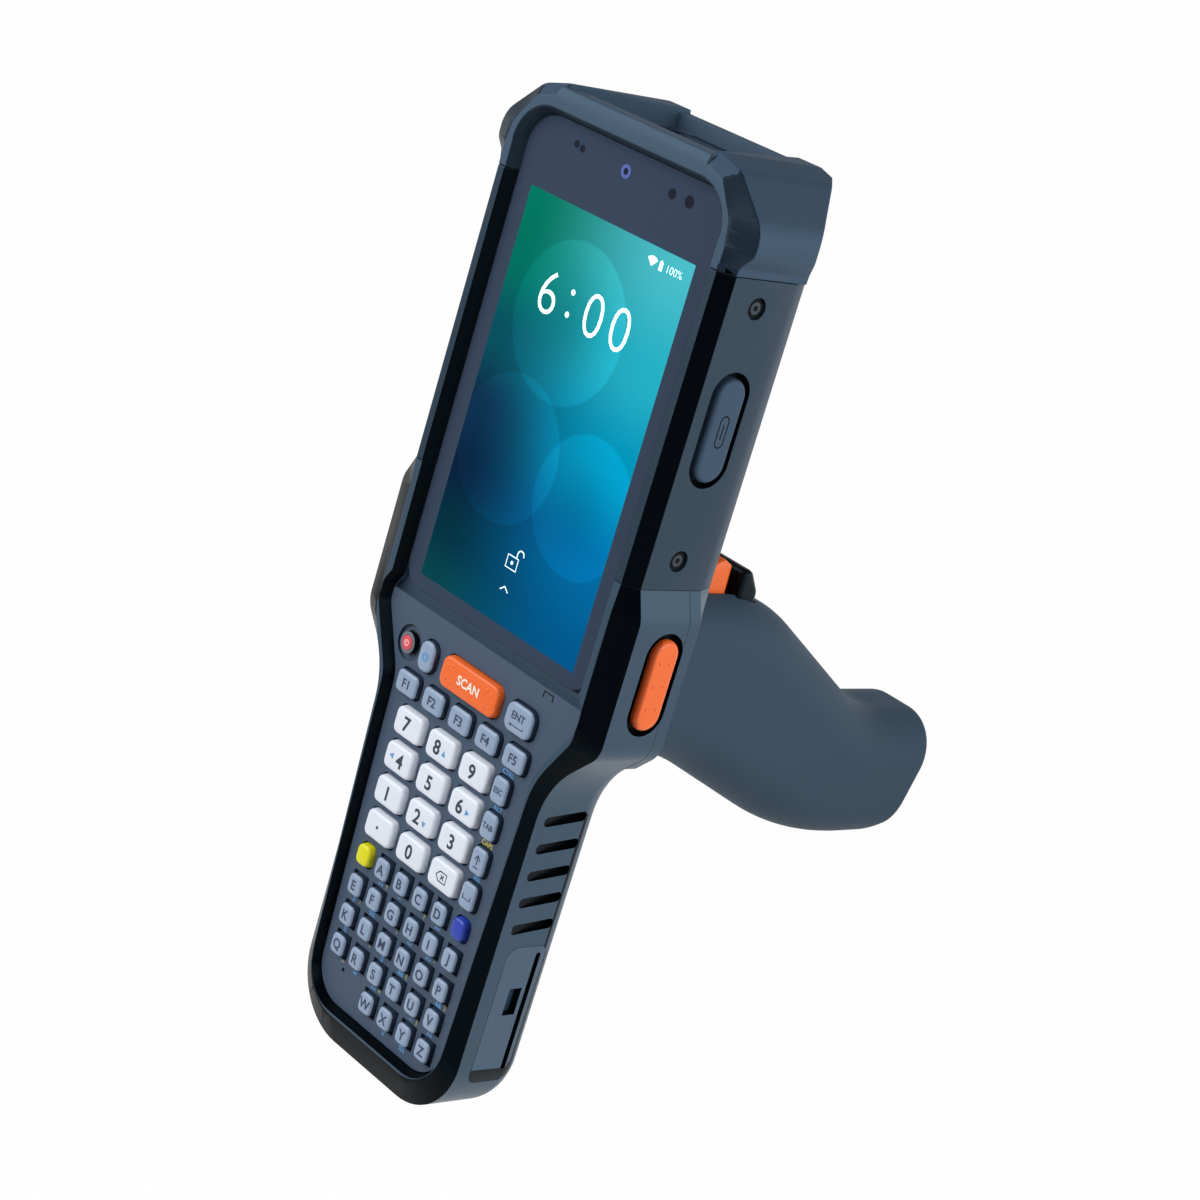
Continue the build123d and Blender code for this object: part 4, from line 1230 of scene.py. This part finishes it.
@dataclass
class Keypad(SubAssembly):
    """Keypad panel, key caps, their legends and the small prints between them."""

    letter_rows: tuple[tuple[str, int], ...] = (
        ("ABCD", 1), ("EFGHIJ", 0), ("KLMNOP", 0), ("QRSTUV", 0), ("WXYZ", 2),
    )
    letter_size: Point = (4.8, 5.1)
    letter_height: float = 2.3
    legend_lift: float = CROWN + 0.02
    panel_level: float = 0.31
    print_height: float = 1.15
    skirt_depth: float = 0.5    # a grey cap's sides take painted shade from this far below its top
    skirt_slope: float = 0.3    # where their normals point out less than this
    sky_prints: str = "+-=/%<>[]#&*"
    yellow_prints: str = "!?:;',()~^|_"
    labels: tuple[tuple[str, str, Ink], ...] = (
        ("escape_key", "CTRL", Ink.SKY), ("tab_key", "ALT", Ink.SKY),
        ("shift_key", "CAPS", Ink.YELLOW), ("space_key", "FN", Ink.SKY),
    )
    label_gap: float = 0.85     # from a key to the middle of its label
    sky_shift: Point = (-0.2, 0.0)      # second legends, from the middle of the gap
    yellow_shift: Point = (1.9, 0.3)
    # path of the black stroke of painted shade in the panel's notch
    catch_mark: tuple[Point, ...] = ((20.3, -51.5), (20.3, -50.2), (23.2, -50.2), (23.2, -51.5))
    arrows: tuple[tuple[str, float, float, int], ...] = (
        ("eight_key", 1.7, -0.6, 90), ("two_key", 1.7, -0.6, 270),
        ("six_key", 1.8, -0.4, 0), ("four_key", -2.1, 0.2, 180),
    )
    arrow_radius: float = 0.85
    scan_dots: tuple[Point, ...] = ((7.6, 1.5), (7.6, -1.5), (5.9, 1.9), (5.9, -1.9))
    dot_radius: float = 0.42
    dot_height: float = 0.2
    looks: dict[str, KeyLook] = field(default_factory=lambda: {
        "seven_key": digit("7"), "eight_key": digit("8", -0.9), "nine_key": digit("9"),
        "four_key": digit("4", 0.7), "five_key": digit("5"), "six_key": digit("6", -0.9),
        "one_key": digit("1"), "two_key": digit("2", -0.9), "three_key": digit("3"),
        "point_key": digit("."), "zero_key": digit("0"), "erase_key": digit(""),
        "escape_key": small("ESC", 1.3), "tab_key": small("TAB", 1.3),
        "shift_key": small(""), "space_key": small(""),
        "f1_key": small("F1"), "f2_key": small("F2"), "f3_key": small("F3"),
        "f4_key": small("F4"), "f5_key": small("F5"),
        "scan_key": KeyLook("key_orange", "SCAN", 2.1, Ink.PALE, 2.0, 0.5),
        "enter_key": KeyLook("key_grey", corner=2.2),
        "settings_key": KeyLook("key_grey", corner=2.2),
        "yellow_key": KeyLook("key_yellow", corner=1.6),
        "blue_key": KeyLook("key_blue", corner=1.6),
    })

    def build(self) -> None:
        """Build the panel, every key with its legend, the letters and the prints."""
        paint(frame["nodes"]["keypad_panel"], self.palette["panel_plastic"])
        for node, look in self.looks.items():
            self._key(node, look)
        PowerKey(self.device, self.palette).build()
        self._symbols()
        self._letters()

    def _key(self, node: str, look: KeyLook) -> None:
        """Build one key and its legend.

        Args:
            node: The key's CAD node and body.
            look: Its finish and legend.
        """
        box = self.device.box(node)
        cap = Cap(box.size, look.corner, look.shoulder).build()
        cap.data.transform(Matrix.Translation((box.middle.x, box.middle.y, box.low.z)))
        self._cover(cap, node + "_cap", node, look.finish)
        if look.legend:
            place = (box.middle.x + look.shift, box.middle.y)
            legend = written(look.legend, place, look.size, box.high.z + self.legend_lift)
            self.hand_over(legend, node + "_legend", look.ink, node)

    def _cover(self, cap: Object, name: str, node: str, finish: str) -> None:
        """Hand over a cap or the letter caps, with painted shade on their sides where they are
        grey.

        Args:
            cap: The cap or the caps.
            name: Their name.
            node: The CAD node that they stand for, and their body.
            finish: Their finish.
        """
        cap.name = name
        paint(cap, self.palette[finish])
        # the lower, upright sides of grey caps take painted shade
        if finish == "key_grey":
            cap.data.materials.append(self.palette["key_skirt"])
            level = self.device.box(node).high.z - self.skirt_depth
            for face in cap.data.polygons:
                upright = abs(face.normal.z) < self.skirt_slope
                face.material_index = int(upright and face.center.z < level)
        self.device.settle(cap, node, node)

    def _mark(self, node: str, name: str, ink: Ink, *parts: Object) -> None:
        """Print signs on a key.

        Args:
            node: The key.
            name: What the signs are called.
            ink: Their colour.
            parts: The signs, laid out about the origin.
        """
        box = self.device.box(node)
        spot = (box.middle.x, box.middle.y, box.high.z + self.legend_lift)
        sign = joined(list(parts))
        sign.data.transform(Matrix.Translation(spot))
        self.hand_over(sign, name, ink, node)

    def _symbols(self) -> None:
        """Print the arrows, the erase, shift, space, enter and settings signs; add the dots."""
        for node, x, y, turn in self.arrows:
            tips = polygon(x, y, self.arrow_radius, (turn, turn + 125, turn + 235))
            self._mark(node, node + "_arrow", Ink.SKY, drawn([tips]))
        tag = [(-1.9, 0.0), (-0.8, -1.1), (1.5, -1.1), (1.5, 1.1), (-0.8, 1.1)]
        cross = [[(-0.3, -0.5), (0.7, 0.5)], [(-0.3, 0.5), (0.7, -0.5)]]
        self._mark("erase_key", "erase_sign", Ink.DARK,
                   drawn([tag], width=0.32), drawn(cross, width=0.32, closed=False))
        arrow = [[(-0.9, 0.3), (0.0, 1.4), (0.9, 0.3)], [(0.0, 1.3), (0.0, -0.8)]]
        base = [(-0.8, -1.4), (0.8, -1.4)]
        self._mark("shift_key", "shift_sign", Ink.SLATE,
                   drawn([*arrow, base], width=0.3, closed=False))
        trough = [(-1.2, 0.3), (-1.2, -0.6), (1.2, -0.6), (1.2, 0.3)]
        self._mark("space_key", "space_sign", Ink.SLATE,
                   drawn([trough], width=0.3, closed=False))
        bent = [(2.1, -1.0), (2.1, -1.5), (-2.0, -1.5)]
        tip = [(-2.4, -1.5), (-1.6, -1.1), (-1.6, -1.9)]
        self._mark("enter_key", "enter_sign", Ink.SLATE, written("ENT", (0.0, 0.7), 1.7),
                   drawn([bent], width=0.26, closed=False), drawn([tip]))
        self._mark("settings_key", "settings_sign", Ink.SKY,
                   drawn([arc(0.0, 0.0, 0.75)], width=0.5))
        box = self.device.box("scan_key")
        places = [(box.middle.x + side * x, box.middle.y + y, box.high.z)
                  for side in (-1, 1) for x, y in self.scan_dots]
        dots = domes(places, self.dot_radius, self.dot_height)
        self.hand_over(dots, "scan_key_dots", "key_orange", "scan_key")

    def _letters(self) -> None:
        """Build the letter caps as one piece, their legends, and the prints round them."""
        box = self.device.box("letter_keys")
        width, height = self.letter_size
        pitch_x, pitch_y = (box.size.x - width) / 5, (box.size.y - height) / 4
        spots = [
            (letter, row, column, box.low.x + width / 2 + column * pitch_x,
             box.high.y - height / 2 - row * pitch_y)
            for row, (letters, first) in enumerate(self.letter_rows)
            for column, letter in enumerate(letters, first)
        ]
        cap = Cap(Vector((width, height, box.size.z))).build()
        caps = copies(cap, [(x, y, box.low.z) for *_, x, y in spots])
        self._cover(joined(caps), "letter_key_caps", "letter_keys", "key_grey")
        top = box.high.z + self.legend_lift
        legends = [written(letter, (x, y), self.letter_height, top) for letter, *_, x, y in spots]
        self.hand_over(joined(legends), "letter_legends", Ink.SLATE, "letter_keys")
        places = {Ink.SKY: [], Ink.YELLOW: []}
        for _, row, column, x, y in spots:
            gap = y - pitch_y / 2
            if (row + column) % 3:
                places[Ink.SKY].append((x + self.sky_shift[0], gap + self.sky_shift[1]))
            if (row + column) % 2 and row < 4:
                places[Ink.YELLOW].append((x + self.yellow_shift[0], gap + self.yellow_shift[1]))
        self._prints(places)

    def _prints(self, places: dict[Ink, list[Point]]) -> None:
        """Print the second legends and the labels on the panel, and lay the black stroke of
        painted shade in its notch.

        Args:
            places: Where the second legends of each ink stand.
        """
        texts = {Ink.SKY: [2 * sign for sign in self.sky_prints], Ink.YELLOW: self.yellow_prints}
        for ink, spots in places.items():
            prints = [(texts[ink][i % len(texts[ink])], spot) for i, spot in enumerate(spots)]
            for node, label, label_ink in self.labels:
                box = self.device.box(node)
                if label_ink == ink:
                    prints.append((label, (box.middle.x, box.high.y + self.label_gap)))
            parts = [written(*text, self.print_height, self.panel_level) for text in prints]
            self.hand_over(joined(parts), "panel_" + ink.value, ink)
        # a black stroke of painted shade in the notch
        mark = drawn([self.catch_mark], self.panel_level, 0.35, closed=False)
        self.hand_over(mark, "panel_catch_mark", Ink.BLACK)


# ---- side fittings, grip and insides -------------------------------------------------------


SMALL = {"segments": 3, "smooth": 45.0}     # rounding and shading of the side fittings


@dataclass
class SideFittings(SubAssembly):
    """Side buttons with their dots, and the cover of the charging port with its sign."""

    dot_rows: tuple[float, ...] = (-5.0, 0.0, 5.0)
    dot_spread: float = 1.3
    dot_radius: float = 0.4
    dot_height: float = 0.18
    button_edge: float = 0.7
    cover_edge: float = 0.35
    shaded: float = 0.45            # a button's faces turned further outwards than this take painted shade
    stroke: float = 0.3

    def build(self) -> None:
        """Build both buttons and the cover."""
        sides = {"side_button_right": 1, "side_button_left": -1}
        for node in sides:
            # faces turned that way take painted shade
            button = Skin(node, "key_orange", "button_shade", self.button_edge, node, **SMALL)
            self.dress(button, lambda face: face.normal.z > self.shaded)
        self.dress(Skin("usb_cover", "bumper_rubber", "", self.cover_edge, "usb_cover", **SMALL))
        places = [(step * self.dot_spread, row, 0.0) for step in (-1, 1) for row in self.dot_rows]
        for node, side in sides.items():
            dots = domes(places, self.dot_radius, self.dot_height)
            self.device.to_flank(dots, node, side)
            self.hand_over(dots, node + "_dots", "key_orange", node)
        pill = [*arc(0.0, 2.2, 1.1, 0, 180), *arc(0.0, -2.2, 1.1, 180, 360)]
        tongue = [(0.0, 1.6), (0.0, -1.6)]
        sign = joined([drawn([pill], width=self.stroke),
                       drawn([tongue], width=self.stroke, closed=False)])
        self.device.to_flank(sign, "usb_cover", 1)
        self.hand_over(sign, "usb_cover_sign", Ink.BLACK, "usb_cover")


@dataclass
class Grip(SubAssembly):
    """Pistol grip, trigger and the block below it."""

    pieces: tuple[Skin, ...] = (
        Skin("grip_half_right", "grip_plastic", edge=0.15, segments=3, clamp=False, smooth=40.0),
        Skin("grip_half_left", "grip_plastic", edge=0.15, segments=3, clamp=False, smooth=40.0),
        Skin("trigger_bezel", "black_plastic", edge=2.6, segments=3, smooth=40.0),
        Skin("trigger", "key_orange", edge=0.8, body="trigger", segments=3, smooth=40.0),
    )

    def build(self) -> None:
        """Build the two halves, the bezel and the trigger."""
        for piece in self.pieces:
            self.dress(piece)


@dataclass
class Insides(SubAssembly):
    """Finishes of the CAD pieces that keep their own shape."""

    finishes: dict[str, tuple[str, ...]] = field(default_factory=lambda: {
        "black_plastic": (
            "screen_module", "front_camera", "scan_engine", "speaker", "trigger_switch"),
        "board_laminate": ("keypad_board", "main_board"),
        "silicone": ("key_mat",),
        "scan_glass": ("scan_window",),
        "steel": ("usb_socket", "trigger_pin", "trigger_spring"),
        "screw_steel": ("grip_screws", "housing_screws", "rail_screws"),
    })

    def build(self) -> None:
        """Give each of these CAD nodes its material."""
        for finish, nodes in self.finishes.items():
            for node in nodes:
                paint(frame["nodes"][node], self.palette[finish])
                LOG.info("%s keeps its shape: %s", node, finish)


# ---- studio --------------------------------------------------------------------------------


@dataclass
class Studio:
    """White studio: floor, surrounding light, lamps and the camera."""

    device: Device
    camera_place: Triple = (433.88, 143.38, 416.0)
    camera_back: Triple = (0.671, 0.281, 0.687)
    camera_up: Triple = (-0.395, 0.919, 0.011)
    focal_length: float = 90.35
    sensor: float = 36.0
    flag: Point = (0.55, 0.85)      # where the dark flag fades in, as cosines from its middle
    flag_level: float = 0.02
    gloss_level: float = 0.12       # strength of the surroundings as mirrored
    soft_level: float = 0.12        # strength of the surroundings as a light
    lamps: tuple[tuple[str, Triple, float, float], ...] = (
        ("key_lamp", (-500.0, 450.0, 750.0), 0.9, 12.5),
        ("side_lamp", (700.0, 280.0, 60.0), 0.5, 2.5),
        ("back_lamp", (650.0, 350.0, -350.0), 0.6, 2.5),
    )
    floor_size: float = 6.0
    floor_colour: Colour = (0.7, 0.7, 0.7, 1.0)
    floor_share: float = 0.98       # how much of the floor's look is plain white

    def build(self) -> None:
        """Set up the camera, the light and the floor."""
        self._camera()
        self._world()
        self._lamps()
        self._floor()
        bpy.context.scene.view_settings.view_transform = "Standard"

    def _camera(self) -> None:
        """Place the camera from its position, its viewing axis and its upward axis."""
        data = bpy.data.cameras.new("camera")
        data.lens = self.focal_length
        data.sensor_width = self.sensor
        data.clip_start = 0.01
        camera = new_object("camera", data)
        back = self.device.direction(*self.camera_back)
        right = self.device.direction(*self.camera_up).cross(back).normalized()
        turn = Matrix((right, back.cross(right), back)).transposed().to_4x4()
        camera.matrix_world = Matrix.Translation(self.device.point(*self.camera_place)) @ turn
        bpy.context.scene.camera = camera

    def _world(self) -> None:
        """White to the camera, dim as a light, with one dark flag for reflections."""
        world = bpy.data.worlds.new("studio")
        bpy.context.scene.world = world
        world.use_nodes = True
        wires = Wiring(world.node_tree)
        facing = wires.add("VectorMath", {
            0: wires.add("TexCoord")["Generated"], 1: self.device.direction(*self.camera_back),
        }, operation="DOT_PRODUCT")["Value"]
        mirrored = wires.step(facing, *self.flag, self.gloss_level, self.flag_level)
        rays = wires.add("LightPath")
        light = wires.blend(rays["Is Glossy Ray"], self.soft_level, mirrored)
        seen = wires.math("MAXIMUM", rays["Is Camera Ray"], rays["Is Transmission Ray"])
        wires.feed(world.node_tree.nodes["Background"], {
            "Color": WHITE, "Strength": wires.blend(seen, light, 1.0),
        })

    def _lamps(self) -> None:
        """Hang the soft lamps, each turned towards the screen's centre."""
        for name, place, size, power in self.lamps:
            data = bpy.data.lights.new(name, "AREA")
            data.size = size
            data.energy = power
            lamp = new_object(name, data)
            lamp.location = self.device.point(*place)
            away = lamp.location - self.device.point(0.0, 0.0, 0.0)
            lamp.rotation_euler = away.to_track_quat("Z", "Y").to_euler()

    def _floor(self) -> None:
        """A plain pale floor that shows white and keeps the terminal's soft shadow."""
        bpy.ops.mesh.primitive_plane_add(size=self.floor_size, location=(0.0, 0.0, 0.0))
        floor = bpy.context.object
        floor.name = "floor"
        material, wires, shader = new_material("floor_white")
        wires.feed(shader, {
            "Base Color": self.floor_colour, "Roughness": 0.9, "Specular IOR Level": 0.0,
        })
        rays = wires.add("LightPath")
        seen = wires.math("MAXIMUM", rays["Is Camera Ray"], rays["Is Glossy Ray"])
        seen = wires.math("MAXIMUM", seen, rays["Is Transmission Ray"])
        look = wires.add("MixShader", {
            "Fac": wires.math("MULTIPLY", seen, self.floor_share),
            1: shader.outputs["BSDF"], 2: wires.add("Emission")["Emission"],
        })
        wires.feed(material.node_tree.nodes["Material Output"], {"Surface": look["Shader"]})
        paint(floor, material)


def main() -> None:
    """Build the terminal around the frame, sub-assembly by sub-assembly."""
    logging.basicConfig(level=logging.INFO, format="%(message)s")
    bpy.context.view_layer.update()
    bpy.ops.object.select_all(action="DESELECT")
    device = Device.from_frame()
    palette = all_finishes(device)
    Studio(device).build()
    for part in (Casing, Display, Keypad, SideFittings, Grip, Insides):
        part(device, palette).build()


if __name__ == "__main__":
    main()
